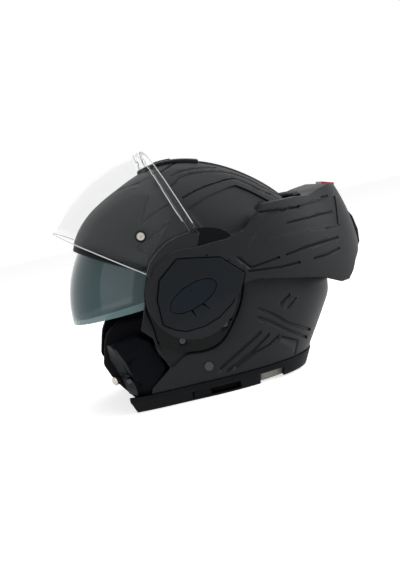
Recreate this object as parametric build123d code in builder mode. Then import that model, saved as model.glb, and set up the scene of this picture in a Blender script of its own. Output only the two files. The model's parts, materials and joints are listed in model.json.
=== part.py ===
from build123d import *
import functools
import math
import os

os.makedirs("parts", exist_ok=True)

# Modular motorcycle helmet, millimetres.
# The helmet stands on its lower rim at Z = 0. X runs to the wearer's left, the face looks to -Y.
# It is stored with the chin bar swung over to the back, the clear visor raised and the sun
# visor dropped. The side outlines are drawn in the worn attitude, back and up from the pivot.

# Stance
TILT = 13.0                 # worn attitude to standing attitude, degrees
PIVOT_HEIGHT = 111.0        # pivot axis above the ground
PIVOT_FORWARD = 38.3        # pivot axis ahead of the middle of the stored helmet

# Outer shell, reaches from the pivot
SHELL_FRONT = 120.0
SHELL_BACK = 160.0
SHELL_TOP = 134.0
SHELL_BOTTOM = 152.0
SHELL_HALF_WIDTH = 117.0
SHELL_WALL = 4.0
SIDE_LENGTH = 200.0         # length that the side outlines follow
CROWN_ROUNDNESS = 2.3       # exponents of the front view, crown and rim
RIM_ROUNDNESS = 2.9
SIDE_FLAT_SHARE = 0.97      # where the rounded side becomes the flat seat of the pivot

# Liners, depths below the outer surface
FOAM_DEPTH = 28.0
COMFORT_DEPTH = 34.0
CHEEK_FOAM_DEPTH = 24.0
CHEEK_PAD_DEPTH = 40.0
SOFT_GAP = 0.3
FIT_GAP = 0.15
RUN_GAP = 0.4

# Side stack at the pivot, wearer's left; the right side is its mirror
RECESS_X = 109.5
RECESS_WALL = 3.5
BASE_PLATE_X = 110.8
VISOR_ARM_X = 115.6
HUB_INNER_X = 116.3
HUB_RADIUS = 46.0
COVER_SEAT_X = 123.0
COVER_PROUD = 1.6

# Clear visor, a surface of revolution about the pivot axis
VISOR_RADIUS = 150.0
VISOR_HALF_WIDTH = 118.0
VISOR_WALL = 2.4
VISOR_HUB_RADIUS = 41.0
INSERT_WALL = 1.0
INSERT_GAP = 0.5
SWEEP_ROUNDNESS = 2.6       # exponent shared by all swept surfaces

# Sun visor
SUN_RADIUS = 125.0
SUN_HALF_WIDTH = 101.0
SUN_WALL = 2.2
SUN_PIVOT_RADIUS = 5.0

# Chin bar
CHIN_GAP = 3.0              # chin bar inside to the back of the shell
CHIN_INNER_HALF_WIDTH = 121.0
CHIN_RADIUS = 199.0
CHIN_HALF_WIDTH = 128.5
CHIN_WALL = 4.0
CHIN_COVER_WALL = 2.5

# Lower rim, heights above the ground
RIM_HEIGHT = 11.0
TRIM_TOP = 17.5
TRIM_PROUD = 1.2
TRIM_DEPTH = 6.0
RIM_DEPTH = 24.0
OVERRUN = 300.0             # cuts run past the helmet by this much

# Pivot hardware
AXLE_RADIUS = 9.0
PIVOT_CLEAR_RADIUS = 17.0
AXLE_CAP_RADIUS = 13.0
AXLE_CAP = 2.4
AXLE_RUN = 0.06
CAP_SEAT_X = 119.2

# Edge strip and soft parts
GASKET_SINK = 0.6
GASKET_DEPTH = 6.0
SUN_CLEAR = 1.5
CHEEK_MIDDLE = 36.0
PAD_LIFT = 3.0
LIP_LIFT = 2.0
NECK_DEPTH = 6.5
NECK_THICKNESS = 24.0
NECK_LIFT = 1.5
COVER_DEPTH = 1.5

# Sun visor slider on the left of the rim cover
RIM_SLIDER_X = 86.0
RIM_SLIDER_Y = -48.0
SLIDER_LENGTH = 20.0
SLIDER_DEPTH = 11.5
SLIDER_HEIGHT = 6.0
SLIDER_BASE = 3.0
SLIDER_CLEAR = 0.5
SLIDER_TRAVEL = 30.0

# Cheek fronts and latches
CHEEK_CLEAR = 1.5
CHEEK_INNER_X = 44.0
CHEEK_CORNER_X = 96.0
CHEEK_OUTER_X = 106.0
LATCH_RADIUS = 110.0
LATCH_ANGLE = 236.0
LATCH_X = 96.6
LATCH_GRIP = 8.0
LATCH_REACH = 3.9
LATCH_PIN_RADIUS = 2.6
SLOT_INSIDE = 5.0
SLOT_OUTSIDE = 12.0
SLOT_BEFORE = 16.0
SLOT_AFTER = 7.0

# Studs, base plate and visor details
STUD_SHARES = (-0.362, -0.468)
STUD_X = 73.0
STUD_NECK_RADIUS = 2.5
STUD_HEAD_RADIUS = 4.6
STUD_STAND = 2.0
STUD_HEAD = 2.4
PLATE_CLEAR = 1.0
PLATE_INSIDE_X = 98.0
PLATE_MARGIN = 0.8
PLATE_SCREW_SHARES = [(-0.04, -0.245), (0.175, -0.16)]
PLATE_SCREW_RADIUS = 3.6
PLATE_SCREW_SINK = 0.9
AXLE_STEP = 0.3
CAP_KEY_RADIUS = 4.0
VISOR_FAN_INSIDE_X = 90.0
VISOR_RIB = 1.6
INSERT_PIN_SHARES = (-0.25, 0.285)
INSERT_PIN_RADIUS = 4.0

# Insert pins, crown vent, chin details
INSERT_PIN_X = 104.8
INSERT_PIN_LENGTH = 6.2
INSERT_SLOT_SHARE = 0.4
VENT_PROUD = 3.6
VENT_FLOOR = 1.0
SLIDER_PROUD = 1.0
VENT_WIDTH = 25.0
VENT_LENGTH = 64.0
VENT_FRONT = -47.0
VENT_SLIDER_WIDTH = 13.0
VENT_SLIDER_LENGTH = 18.0
VENT_SLIDER_BACK = -30.0
VENT_TRAVEL = 6.0
VENT_FLOAT = 1.4
HUB_RIM = 8.0
CHIN_SWING = 188.0
CHIN_FOAM_HALF_WIDTH = 82.0
VENT_HALF_WIDTH = 34.0
VENT_AIR = 4.5
VENT_FRAME = 3.0
BUTTON_HALF_WIDTH = 16.0
HOOK_X = 97.2
HOOK_WALL = 3.0
HOOK_BEHIND = 13.5
HOOK_PIVOT_RADIUS = 117.0
HOOK_INSIDE = 3.2
HOOK_OUTSIDE = 9.0
HOOK_NOSE = 2.0
HOOK_NOSE_START = 1.8
HOOK_NOSE_END = 4.4
HOOK_WINDOW = 22.0
HOOK_FREE = 4.0
HOOK_EYE_RADIUS = 4.5
HOOK_PIN_RADIUS = 2.0
HOOK_PIN_OVER = 4.0
COVER_GROOVE = 0.7
COVER_FLOOR = 4.2
OVAL_GROOVE = 0.5
OVAL_SINK = 0.5

# Chin strap, its anchors and the buckle
STRAP_WIDTH = 20.0
STRAP_THICKNESS = 2.2
STRAP_BACK = -36.7
STRAP_GAP = 0.4
STRAP_LINE = [(105.5, 34), (100, 33), (88, 29), (60, 20), (40, 14), (34.5, 15), (32, 22)]
ANCHOR_X = 104.4
ANCHOR_PLATE = 1.5
ANCHOR_HEIGHT = 14.0
ANCHOR_SPOT = (19.0, -75.0)
ANCHOR_RADIUS = 3.0
ANCHOR_HEAD_RADIUS = 4.6
ANCHOR_HEAD_X = 111.0
ANCHOR_HEAD = 1.4
BUCKLE_X = 26.0
BUCKLE_DEPTH = 9.0
BUCKLE_BASE = 22.0
BUCKLE_HEIGHT = 32.0
BUCKLE_WIDTH = 26.0
BUCKLE_MOUTH = 4.0
BUCKLE_MOUTH_WIDTH = 16.0
BUCKLE_FLOOR = 6.0
BUCKLE_WALL = 2.5
TONGUE_WIDTH = 14.0
TONGUE_THICKNESS = 3.0

# Relief on the shell and the chin bar
RELIEF_DEPTH = 1.8
SPINE_PROUD = 1.6
GROOVE_WIDTH = 3.0
BAND_DEPTH = 1.2
SHUTTER_HALF_WIDTH = 30.6
SHUTTER_KNOB = 5.0
LINER_CHANNEL = 4.0
LINER_CHANNEL_INSIDE = 24.0
LINER_CHANNEL_OUTSIDE = 31.0
POD_FACET_RISE = 30.0
POD_FACET_SLOPE = 7.0
POD_FACET_SHARES = (0.1, -0.02)

# Frames and axes
PIVOT = (0, -PIVOT_FORWARD, PIVOT_HEIGHT)
LEAN = math.radians(TILT)
SIDE = Plane(origin=PIVOT, x_dir=(0, math.cos(LEAN), -math.sin(LEAN)), z_dir=(1, 0, 0))
PIVOT_AXIS = Axis(PIVOT, (1, 0, 0))
LEVEL = Plane(origin=PIVOT, x_dir=(1, 0, 0), z_dir=SIDE.y_dir)
CHIN_INNER_RADIUS = SHELL_BACK + CHIN_GAP

# Outer shell, side profile: shares of the four reaches
SHELL_SHARES = [
    (1, 0), (0.956, 0.269), (0.863, 0.493), (0.719, 0.687), (0.425, 0.903), (0.125, 1),
    (-0.25, 0.963), (-0.59, 0.772), (-0.84, 0.567), (-0.967, 0.35), (-1, 0.037), (-1.017, -0.263),
    (-1, -0.559), (-0.875, -0.868), (-0.5, -1.02), (0, -1), (0.375, -0.96), (0.64, -0.822),
    (0.81, -0.625), (0.872, -0.414), (0.925, -0.263), (0.975, -0.118),
]
STATION_SHARES = [0, 0.3, 0.5, 0.65, 0.78, 0.88, 0.94, SIDE_FLAT_SHARE]

# Side outlines: shares of SIDE_LENGTH, back and up from the pivot
BROW_SHARES = [(-0.75, 0.25), (-0.57, 0.215), (-0.215, 0.13)]
PORT_SHARES = [(-0.235, 0), (-0.23, -0.06), (-0.25, -0.19), (-0.19, -0.23), (-0.165, -0.3),
               (-0.1, -0.38), (-0.19, -0.49), (-0.195, -0.535), (-0.195, -1), (-0.75, -1)]
GASKET_DROP_SHARE = 0.027
RECESS_SHARES = [
    (-0.225, 0.1), (-0.17, 0.23), (-0.06, 0.3), (0.07, 0.335), (0.19, 0.31), (0.24, 0.25),
    (0.27, 0.04), (0.255, -0.065), (0.215, -0.165), (0.16, -0.255), (0.05, -0.305),
    (-0.045, -0.33), (-0.095, -0.375), (-0.13, -0.325), (-0.165, -0.26), (-0.185, -0.19),
    (-0.235, -0.05),
]
VISOR_FAN_SHARES = [(-0.225, 0.09), (-0.205, 0.155), (-0.17, 0.205), (-0.125, 0.25),
                    (-0.065, 0.285), (-0.005, 0.305), (0.045, 0.305), (0, 0), (-0.16, 0)]
VISOR_SHARES = [(-0.16, 0.045), (-0.225, 0.095), (-0.75, 0.306), (-0.75, 0.75), (-0.232, 0.75),
                (0.04, 0.305), (0, 0)]
VISOR_RIB_SHARES = [(-0.245, 0.725), (-0.005, 0.31), (0.05, 0.31), (-0.2, 0.75), (-0.245, 0.75)]
INSERT_SHARES = [(-0.22, 0.14), (-0.72, 0.335), (-0.72, 0.75), (-0.292, 0.75), (-0.1, 0.385)]
SUN_SHARES = [(-0.205, -0.085), (-0.58, -0.2), (-0.75, -0.257), (-0.75, 0.3), (-0.3, 0.3), (0.06, 0.04),
              (0.06, -0.13), (-0.05, -0.13), (-0.12, -0.08)]
SUN_PIVOT_SHARES = (0.02, -0.05)
CHIN_SHARES = [
    (-0.05, 0.215), (0.1, 0.255), (0.18, 0.275), (0.27, 0.325), (0.335, 0.405), (0.36, 0.45),
    (0.55, 0.485), (0.62, 0.49), (0.68, 0.525), (0.75, 0.555), (0.845, 0.55), (0.875, 0.515), (0.885, 0.44),
    (0.905, 0.385),
    (0.93, 0.31), (0.94, 0.245), (0.925, 0.195), (0.9, 0.155), (0.88, 0.1), (0.85, 0.055),
    (0.8, 0.045), (0.675, 0.075), (0.425, 0.075), (0.315, 0.07), (0.25, 0.05), (0.215, -0.05),
    (0.1, -0.2), (-0.1, -0.2), (-0.2, 0),
]
COVER_SHARES = [
    (-0.145, -0.155), (-0.175, -0.03), (-0.165, 0.07), (-0.08, 0.175), (-0.01, 0.18), (0.14, 0.185),
    (0.27, 0.105), (0.255, 0.035), (0.2, -0.055), (0.14, -0.12), (0.065, -0.165), (-0.025, -0.19),
    (-0.085, -0.18),
]
OVAL_SHARES = (0.005, -0.01)
OVAL_LONG = 27.0
OVAL_SHORT = 12.0
OVAL_TURN = 33.0

SUN_POCKET_SHARES = [(0.22, -0.2), (0.22, 0.3), (0.06, 0.4), (0.04, 0.59), (-0.75, 0.75), (-0.75, -0.2)]
CHEEK_ZONE_SHARES = [(-0.75, -0.12), (0.27, -0.12), (0.36, -0.3), (0.42, -0.52), (0.42, -1), (-0.75, -1)]
PORT_FOAM_SHARES = [(-0.75, 0.29), (-0.57, 0.245), (-0.205, 0.16), (-0.205, -1), (-0.75, -1)]
COMFORT_SHARES = [(-0.75, 0.31), (-0.2, 0.18), (-0.17, -0.09), (0.27, -0.09), (0.38, -0.29), (0.75, -0.29),
                  (0.75, 0.9), (-0.75, 0.9)]
FRONT_ZONE_SHARES = [(-0.75, 0.1), (-0.2, 0.1), (-0.195, -0.22), (-0.09, -0.34), (-0.09, -1), (-0.75, -1)]
CHEEK_PAD_SHARES = [
    (-0.17, -0.13), (-0.25, -0.13), (-0.3, -0.14), (-0.36, -0.165), (-0.405, -0.215), (-0.425, -0.27),
    (-0.43, -0.4), (-0.38, -0.47), (-0.26, -0.58), (0.3, -0.58), (0.38, -0.5), (0.33, -0.3), (0.25, -0.13),
]
NECK_SHARES = [(0.4, -0.7), (0.36, -0.3), (0.9, -0.3), (0.9, -0.7)]
REAR_LIP_SHARES = [(0.5, -0.7), (0.5, -0.3), (0.9, -0.3), (0.9, -0.7)]
RIM_FRONT_SHARES = [(-0.75, 0), (-0.315, -0.5), (-0.3, -0.57), (-0.24, -0.66), (-0.75, -0.9)]
COVER_ZONE_SHARES = [(-0.9, -0.3), (-0.9, -0.9), (0.5, -0.9), (0.5, -0.3)]
CHEEK_INNER_SHARES = [(-0.2, -0.235), (-0.28, -0.22), (-0.43, -0.3), (-0.445, -0.385), (-0.435, -0.425),
                      (-0.38, -0.505), (-0.25, -0.645), (-0.1, -0.6), (-0.1, -0.375)]
CHEEK_CORNER_SHARES = [(-0.2, -0.235), (-0.27, -0.21), (-0.4, -0.28), (-0.355, -0.345), (-0.31, -0.42),
                       (-0.275, -0.48), (-0.24, -0.6), (-0.1, -0.6), (-0.11, -0.375)]
CHEEK_OUTER_SHARES = [(-0.205, -0.25), (-0.265, -0.23), (-0.375, -0.29), (-0.33, -0.35), (-0.29, -0.42),
                      (-0.255, -0.48), (-0.225, -0.58), (-0.12, -0.57), (-0.125, -0.375)]

CHIN_VENT_SHARES = [(0.885, 0.42), (0.92, 0.38), (0.95, 0.31), (0.96, 0.245), (0.94, 0.19), (0.91, 0.165),
                    (0.88, 0.18), (0.86, 0.3), (0.85, 0.4)]
VENT_LOUVRE_SHARES = [(0.21, 0.24), (0.265, 0.295), (0.32, 0.35)]
BUTTON_SHARES = [(0.765, 0.53), (0.765, 0.567), (0.835, 0.562), (0.835, 0.53)]
BUTTON_POCKET_SHARES = [(0.765, 0.508), (0.765, 0.6), (0.835, 0.6), (0.835, 0.508)]
CURTAIN_SHARES = [(0.565, 0.5), (0.57, 0.488), (0.79, 0.545), (0.79, 0.56)]
SHUTTER_SHARES = [(0.893, 0.2), (0.903, 0.2), (0.908, 0.3), (0.898, 0.3)]
KNOB_SHARES = [(0.9, 0.267), (0.965, 0.267), (0.965, 0.277), (0.9, 0.277)]
FACET_SHARES = [(-0.01, 0.42), (0.095, 0.485), (0.205, 0.53), (0.26, 0.545), (0.335, 0.515), (0.435, 0.465),
                (0.37, 0.33), (0.205, 0.29), (0.125, 0.32), (0.065, 0.325)]
BEVEL_SHARES = [(0.385, 0.4), (0.29, 0.235), (0.46, 0.29), (0.79, 0.34), (0.79, 0.49), (0.505, 0.425)]
CREASE_SHARES = [
    [(0.345, -0.075), (0.43, -0.11), (0.515, -0.16), (0.66, -0.21)],
    [(0.34, -0.12), (0.43, -0.155), (0.52, -0.2), (0.64, -0.25)],
    [(0.15, -0.385), (0.255, -0.29), (0.365, -0.195)],
    [(0.19, -0.395), (0.32, -0.295), (0.41, -0.21)],
]
SPINE_PLAN = [(20, 19), (15, 118), (-15, 118), (-20, 19)]
VENT_PLAN = [(VENT_WIDTH, VENT_FRONT + VENT_LENGTH), (VENT_WIDTH * 0.8, VENT_FRONT + VENT_WIDTH / 3),
             (VENT_WIDTH * 0.35, VENT_FRONT), (-VENT_WIDTH * 0.35, VENT_FRONT),
             (-VENT_WIDTH * 0.8, VENT_FRONT + VENT_WIDTH / 3), (-VENT_WIDTH, VENT_FRONT + VENT_LENGTH)]
VENT_SLIDER_PLAN = [
    (x, VENT_SLIDER_BACK + y) for x, y in (
        (VENT_SLIDER_WIDTH / 2, 0), (VENT_SLIDER_WIDTH / 2, VENT_SLIDER_LENGTH),
        (-VENT_SLIDER_WIDTH / 2, VENT_SLIDER_LENGTH), (-VENT_SLIDER_WIDTH / 2, 0))]
VENT_POCKET_PLAN = [
    (x, VENT_SLIDER_BACK + y) for x, y in (
        (VENT_SLIDER_WIDTH / 2 + RUN_GAP, -RUN_GAP),
        (VENT_SLIDER_WIDTH / 2 + RUN_GAP, VENT_SLIDER_LENGTH + VENT_TRAVEL + RUN_GAP),
        (-VENT_SLIDER_WIDTH / 2 - RUN_GAP, VENT_SLIDER_LENGTH + VENT_TRAVEL + RUN_GAP),
        (-VENT_SLIDER_WIDTH / 2 - RUN_GAP, -RUN_GAP))]


def spots(shares):
    """Side outline points, back and up from the pivot."""
    return [(back * SIDE_LENGTH, up * SIDE_LENGTH) for back, up in shares]


def side(x):
    """Upright lengthwise plane at x, its axes back and up in the worn attitude."""
    return SIDE.offset(x)


def grown(points, amount):
    """Points of a closed outline moved out by amount, its corners kept sharp."""
    following = points[1:] + points[:1]
    area = sum(here[0] * there[1] - here[1] * there[0] for here, there in zip(points, following))
    turn = math.copysign(1, area)
    moved = []
    for before, here, after in zip(points[-1:] + points[:-1], points, following):
        run_in = (Vector(*here) - Vector(*before)).normalized()
        run_out = (Vector(*after) - Vector(*here)).normalized()
        out_in = Vector(run_in.Y, -run_in.X) * turn
        out_out = Vector(run_out.Y, -run_out.X) * turn
        corner = Vector(*here) + (out_in + out_out) * (amount / (1 + out_in.dot(out_out)))
        moved.append((corner.X, corner.Y))
    return moved


def prism(points, start, end, grow=0.0):
    """Solid between two lengthwise planes with the given side outline, grown by the given amount."""
    with BuildPart() as block:
        with BuildSketch(side(start)) as outline:
            with BuildLine():
                Polyline(*grown(points, grow), close=True)
            make_face()
        extrude(outline.sketch, amount=end - start)
    return block.part


def smooth_prism(points, start, end, grow=0.0):
    """Like prism, with a closed curve through the points, moved out from the pivot by grow."""
    moved = []
    for back, up in points:
        reach = math.hypot(back, up)
        moved.append((back * (reach + grow) / reach, up * (reach + grow) / reach))
    with BuildPart() as block:
        with BuildSketch(side(start)) as outline:
            with BuildLine():
                Spline(*moved, periodic=True)
            make_face()
        extrude(outline.sketch, amount=end - start)
    return block.part


@functools.cache
def shell_form(depth):
    """Egg-shaped body of the shell, a given depth below its outer surface."""
    points = []
    for back, up in SHELL_SHARES:
        y = back * (SHELL_BACK if back > 0 else SHELL_FRONT)
        z = up * (SHELL_TOP if up > 0 else SHELL_BOTTOM)
        reach = math.hypot(y, z)
        points.append((y * (reach - depth) / reach, z * (reach - depth) / reach, up))
    half_width = SHELL_HALF_WIDTH - depth
    shares = [-share for share in reversed(STATION_SHARES[1:])] + STATION_SHARES
    with BuildPart() as body:
        for share in shares:
            section = []
            for y, z, up in points:
                blend = (1 + max(-1, min(1, up))) / 2
                power = RIM_ROUNDNESS + (CROWN_ROUNDNESS - RIM_ROUNDNESS) * blend
                scale = (1 - abs(share) ** power) ** (1 / power)
                section.append((y * scale, z * scale))
            with BuildSketch(side(half_width * share)):
                with BuildLine():
                    Spline(*section, periodic=True)
                make_face()
        loft()
    return body.part


def swept_form(radius, half_width, centre=(0, 0)):
    """Body of revolution about a crosswise axis, rounded like the helmet seen from above."""
    plane = Plane(origin=side(0).from_local_coords((*centre, 0)), x_dir=(1, 0, 0), z_dir=-SIDE.x_dir)
    steps = 24
    points = []
    for step in range(steps + 1):
        angle = math.pi * step / steps
        x = half_width * math.copysign(abs(math.cos(angle)) ** (2 / SWEEP_ROUNDNESS), math.cos(angle))
        y = radius * abs(math.sin(angle)) ** (2 / SWEEP_ROUNDNESS)
        points.append((x, y))
    points[0] = (half_width, 0)
    points[-1] = (-half_width, 0)
    with BuildPart() as body:
        with BuildSketch(plane):
            with BuildLine():
                Spline(*points)
                Line(points[-1], points[0])
            make_face()
        revolve(axis=Axis(plane.origin, (1, 0, 0)))
    return body.part


def slab(low, high):
    """Level slice of the space the helmet stands in."""
    with BuildPart() as block:
        with BuildSketch(Plane.XY.offset(low)):
            Rectangle(2 * OVERRUN, 2 * OVERRUN)
        extrude(amount=high - low)
    return block.part



def plan(points, low, high):
    """Upright solid, worn attitude, from a plan outline of (x, back) points."""
    with BuildPart() as block:
        with BuildSketch(LEVEL.offset(low)) as outline:
            with BuildLine():
                Polyline(*points, close=True)
            make_face()
        extrude(outline.sketch, amount=high - low)
    return block.part


def rod(radius, start, end, back, up):
    """Round solid along X."""
    with BuildPart() as bar:
        with BuildSketch(side(start)) as circle:
            with Locations((back, up)):
                Circle(radius)
        extrude(circle.sketch, amount=end - start)
    return bar.part


def arc_spot(radius, degrees):
    """Side outline point given by its distance and angle from the pivot."""
    angle = math.radians(degrees)
    return (radius * math.cos(angle), radius * math.sin(angle))


def sector(inner, outer, start, end):
    """Side outline between two radii and two angles about the pivot."""
    steps = 4
    angles = [start + (end - start) * step / steps for step in range(steps + 1)]
    return [arc_spot(outer, angle) for angle in angles] + [arc_spot(inner, angle) for angle in reversed(angles)]


def swing(points, degrees):
    """Side outline points turned about the pivot."""
    turn = math.radians(degrees)
    return [(y * math.cos(turn) - z * math.sin(turn), y * math.sin(turn) + z * math.cos(turn)) for y, z in points]


def write(name, piece):
    """Label a finished piece and write its file."""
    piece.part.label = name
    export_step(piece.part, f"parts/{name}.step")


def write_pair(name, left):
    """Write a left piece and its mirror image."""
    write(f"{name}_left", left)
    with BuildPart() as right:
        mirror(left.part, about=Plane.YZ)
    write(f"{name}_right", right)


# Shared bodies
OUTER = shell_form(0)
recess_line = spots(RECESS_SHARES)
brow_line = spots(BROW_SHARES)
port_line = spots(PORT_SHARES)
brow_to_gasket = GASKET_DROP_SHARE * SIDE_LENGTH
gasket_line = [(y, z - brow_to_gasket) for y, z in brow_line]


def ribbon(points, width):
    """Closed outline of a band of even height along open points."""
    return points + [(back, up - width) for back, up in reversed(points)]


def hanging(line, grow=0.0):
    """Strap webbing along a line of spots across the helmet, in its standing attitude."""
    with BuildPart() as web:
        with BuildSketch(Plane.XZ.offset(-STRAP_BACK)):
            with BuildLine():
                Polyline(*grown(ribbon(line, STRAP_THICKNESS), grow), close=True)
            make_face()
        extrude(amount=STRAP_WIDTH / 2 + grow, both=True)
    return web.part


def side_recess(floor, grow):
    """Both pivot recesses, as solids outwards from the floor."""
    with BuildPart() as both:
        add(smooth_prism(recess_line, floor, OVERRUN, grow))
        mirror(about=Plane.YZ)
    return both.part


def inner_form(depth, gap=0.0):
    """Shell form at a depth, kept clear of the walls of the two pivot recesses."""
    with BuildPart() as form:
        add(shell_form(depth))
        add(side_recess(RECESS_X - RECESS_WALL - gap, RECESS_WALL + gap), mode=Mode.SUBTRACT)
    return form.part


# Outer shell with its crown spine, side facets and creases
with BuildPart() as shell_relief:
    add(prism(spots(FACET_SHARES), -OVERRUN, OVERRUN))
    for line in CREASE_SHARES:
        add(prism(ribbon(spots(line), GROOVE_WIDTH), -OVERRUN, OVERRUN))
    add(shell_form(RELIEF_DEPTH), mode=Mode.SUBTRACT)
with BuildPart() as anchor_holes:
    add(rod(ANCHOR_RADIUS, 0, OVERRUN, *ANCHOR_SPOT))
    add(rod(ANCHOR_HEAD_RADIUS + FIT_GAP, ANCHOR_HEAD_X, OVERRUN, *ANCHOR_SPOT))
    mirror(about=Plane.YZ)
with BuildPart() as outer_shell:
    add(shell_form(-SPINE_PROUD))
    add(plan(SPINE_PLAN, 0, OVERRUN), mode=Mode.INTERSECT)
    add(OUTER)
    add(shell_relief.part, mode=Mode.SUBTRACT)
    add(inner_form(SHELL_WALL), mode=Mode.SUBTRACT)
    add(side_recess(RECESS_X, 0), mode=Mode.SUBTRACT)
    add(prism(brow_line + port_line, -OVERRUN, OVERRUN), mode=Mode.SUBTRACT)
    add(slab(-OVERRUN, TRIM_TOP + FIT_GAP), mode=Mode.SUBTRACT)
    add(rod(AXLE_RADIUS + FIT_GAP, -OVERRUN, OVERRUN, 0, 0), mode=Mode.SUBTRACT)
    add(anchor_holes.part, mode=Mode.SUBTRACT)
write("outer_shell", outer_shell)

# Edge strip under the brow
with BuildPart() as brow_gasket:
    add(shell_form(GASKET_SINK))
    add(shell_form(GASKET_DEPTH), mode=Mode.SUBTRACT)
    strip = [(y, z - FIT_GAP) for y, z in brow_line] + list(reversed(gasket_line))
    add(prism(strip, -OVERRUN, OVERRUN), mode=Mode.INTERSECT)
    add(side_recess(RECESS_X - RECESS_WALL, RECESS_WALL + FIT_GAP), mode=Mode.SUBTRACT)
write("brow_gasket", brow_gasket)

# Foam liner over the crown, cut back at the front for the sun visor
sun_centre = (SUN_PIVOT_SHARES[0] * SIDE_LENGTH, SUN_PIVOT_SHARES[1] * SIDE_LENGTH)
sun_pocket_line = spots(SUN_POCKET_SHARES)
cheek_line = spots(CHEEK_ZONE_SHARES)
port_foam_line = spots(PORT_FOAM_SHARES)
LINED = inner_form(SHELL_WALL + SOFT_GAP, SOFT_GAP)
SUN_INSIDE = swept_form(SUN_RADIUS - SUN_WALL - SUN_CLEAR, SUN_HALF_WIDTH - SUN_WALL - SUN_CLEAR, sun_centre)
with BuildPart() as sun_pocket:
    add(prism(sun_pocket_line, -OVERRUN, OVERRUN))
    add(SUN_INSIDE, mode=Mode.SUBTRACT)
with BuildPart() as crown_foam:
    add(LINED)
    add(shell_form(FOAM_DEPTH), mode=Mode.SUBTRACT)
    add(sun_pocket.part, mode=Mode.SUBTRACT)
    add(prism(cheek_line, -OVERRUN, OVERRUN, SOFT_GAP), mode=Mode.SUBTRACT)
    add(prism(port_foam_line, -OVERRUN, OVERRUN), mode=Mode.SUBTRACT)
    add(slab(-OVERRUN, TRIM_TOP + SOFT_GAP), mode=Mode.SUBTRACT)
    add(rod(PIVOT_CLEAR_RADIUS + SOFT_GAP, -OVERRUN, OVERRUN, 0, 0), mode=Mode.SUBTRACT)
write("crown_foam", crown_foam)

# Comfort liner inside the crown foam
with BuildPart() as liner_channels:
    add(plan([(LINER_CHANNEL_INSIDE, -OVERRUN), (LINER_CHANNEL_OUTSIDE, -OVERRUN), (LINER_CHANNEL_OUTSIDE, OVERRUN),
              (LINER_CHANNEL_INSIDE, OVERRUN)], 0, OVERRUN))
    mirror(about=Plane.YZ)
    add(shell_form(COMFORT_DEPTH - LINER_CHANNEL), mode=Mode.INTERSECT)
with BuildPart() as comfort_liner:
    add(shell_form(FOAM_DEPTH + SOFT_GAP))
    add(shell_form(COMFORT_DEPTH), mode=Mode.SUBTRACT)
    add(prism(spots(COMFORT_SHARES), -OVERRUN, OVERRUN), mode=Mode.INTERSECT)
    add(liner_channels.part, mode=Mode.SUBTRACT)
write("comfort_liner", comfort_liner)

# Cheek foams and pads, slotted for the chin strap
with BuildPart() as strap_room:
    add(hanging(STRAP_LINE, STRAP_GAP))
    with BuildSketch(side(ANCHOR_X - ANCHOR_PLATE - STRAP_GAP)):
        with Locations(ANCHOR_SPOT):
            Rectangle(STRAP_WIDTH + 2 * STRAP_GAP, ANCHOR_HEIGHT + 2 * STRAP_GAP)
    extrude(amount=OVERRUN)
with BuildPart() as cheek_foam:
    add(LINED)
    add(shell_form(CHEEK_FOAM_DEPTH), mode=Mode.SUBTRACT)
    add(prism(cheek_line, CHEEK_MIDDLE, OVERRUN), mode=Mode.INTERSECT)
    add(sun_pocket.part, mode=Mode.SUBTRACT)
    add(prism(spots(FRONT_ZONE_SHARES), -OVERRUN, OVERRUN), mode=Mode.SUBTRACT)
    add(slab(-OVERRUN, TRIM_TOP + SOFT_GAP), mode=Mode.SUBTRACT)
    add(rod(PIVOT_CLEAR_RADIUS + SOFT_GAP, 0, OVERRUN, 0, 0), mode=Mode.SUBTRACT)
    add(strap_room.part, mode=Mode.SUBTRACT)
write_pair("cheek_foam", cheek_foam)

with BuildPart() as cheek_pad:
    add(shell_form(CHEEK_FOAM_DEPTH + SOFT_GAP))
    add(shell_form(CHEEK_PAD_DEPTH), mode=Mode.SUBTRACT)
    add(prism(spots(CHEEK_PAD_SHARES), CHEEK_MIDDLE, OVERRUN), mode=Mode.INTERSECT)
    add(slab(-OVERRUN, PAD_LIFT), mode=Mode.SUBTRACT)
    add(strap_room.part, mode=Mode.SUBTRACT)
write_pair("cheek_pad", cheek_pad)

# Chin strap: webbing, riveted anchors, buckle body on the left, tongue on the right
with BuildPart() as strap_anchor:
    with BuildSketch(side(ANCHOR_X - ANCHOR_PLATE)):
        with Locations(ANCHOR_SPOT):
            Rectangle(STRAP_WIDTH, ANCHOR_HEIGHT)
    extrude(amount=ANCHOR_PLATE)
    add(rod(ANCHOR_RADIUS, ANCHOR_X, ANCHOR_HEAD_X, *ANCHOR_SPOT))
    add(rod(ANCHOR_HEAD_RADIUS, ANCHOR_HEAD_X, ANCHOR_HEAD_X + ANCHOR_HEAD, *ANCHOR_SPOT))
write_pair("strap_anchor", strap_anchor)

with BuildPart() as strap:
    add(hanging(STRAP_LINE))
    add(rod(OVERRUN, ANCHOR_X - ANCHOR_PLATE, OVERRUN, 0, 0), mode=Mode.SUBTRACT)
write_pair("strap", strap)

buckle_low = (Align.MIN, Align.CENTER, Align.MIN)
with BuildPart() as buckle_body:
    with Locations((BUCKLE_X, STRAP_BACK, BUCKLE_BASE)):
        Box(BUCKLE_DEPTH, BUCKLE_WIDTH, BUCKLE_HEIGHT, align=buckle_low)
    with Locations((BUCKLE_X + BUCKLE_WALL, STRAP_BACK, BUCKLE_BASE + BUCKLE_FLOOR)):
        Box(BUCKLE_MOUTH, BUCKLE_MOUTH_WIDTH, BUCKLE_HEIGHT, align=buckle_low, mode=Mode.SUBTRACT)
write("buckle_body", buckle_body)

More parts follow.
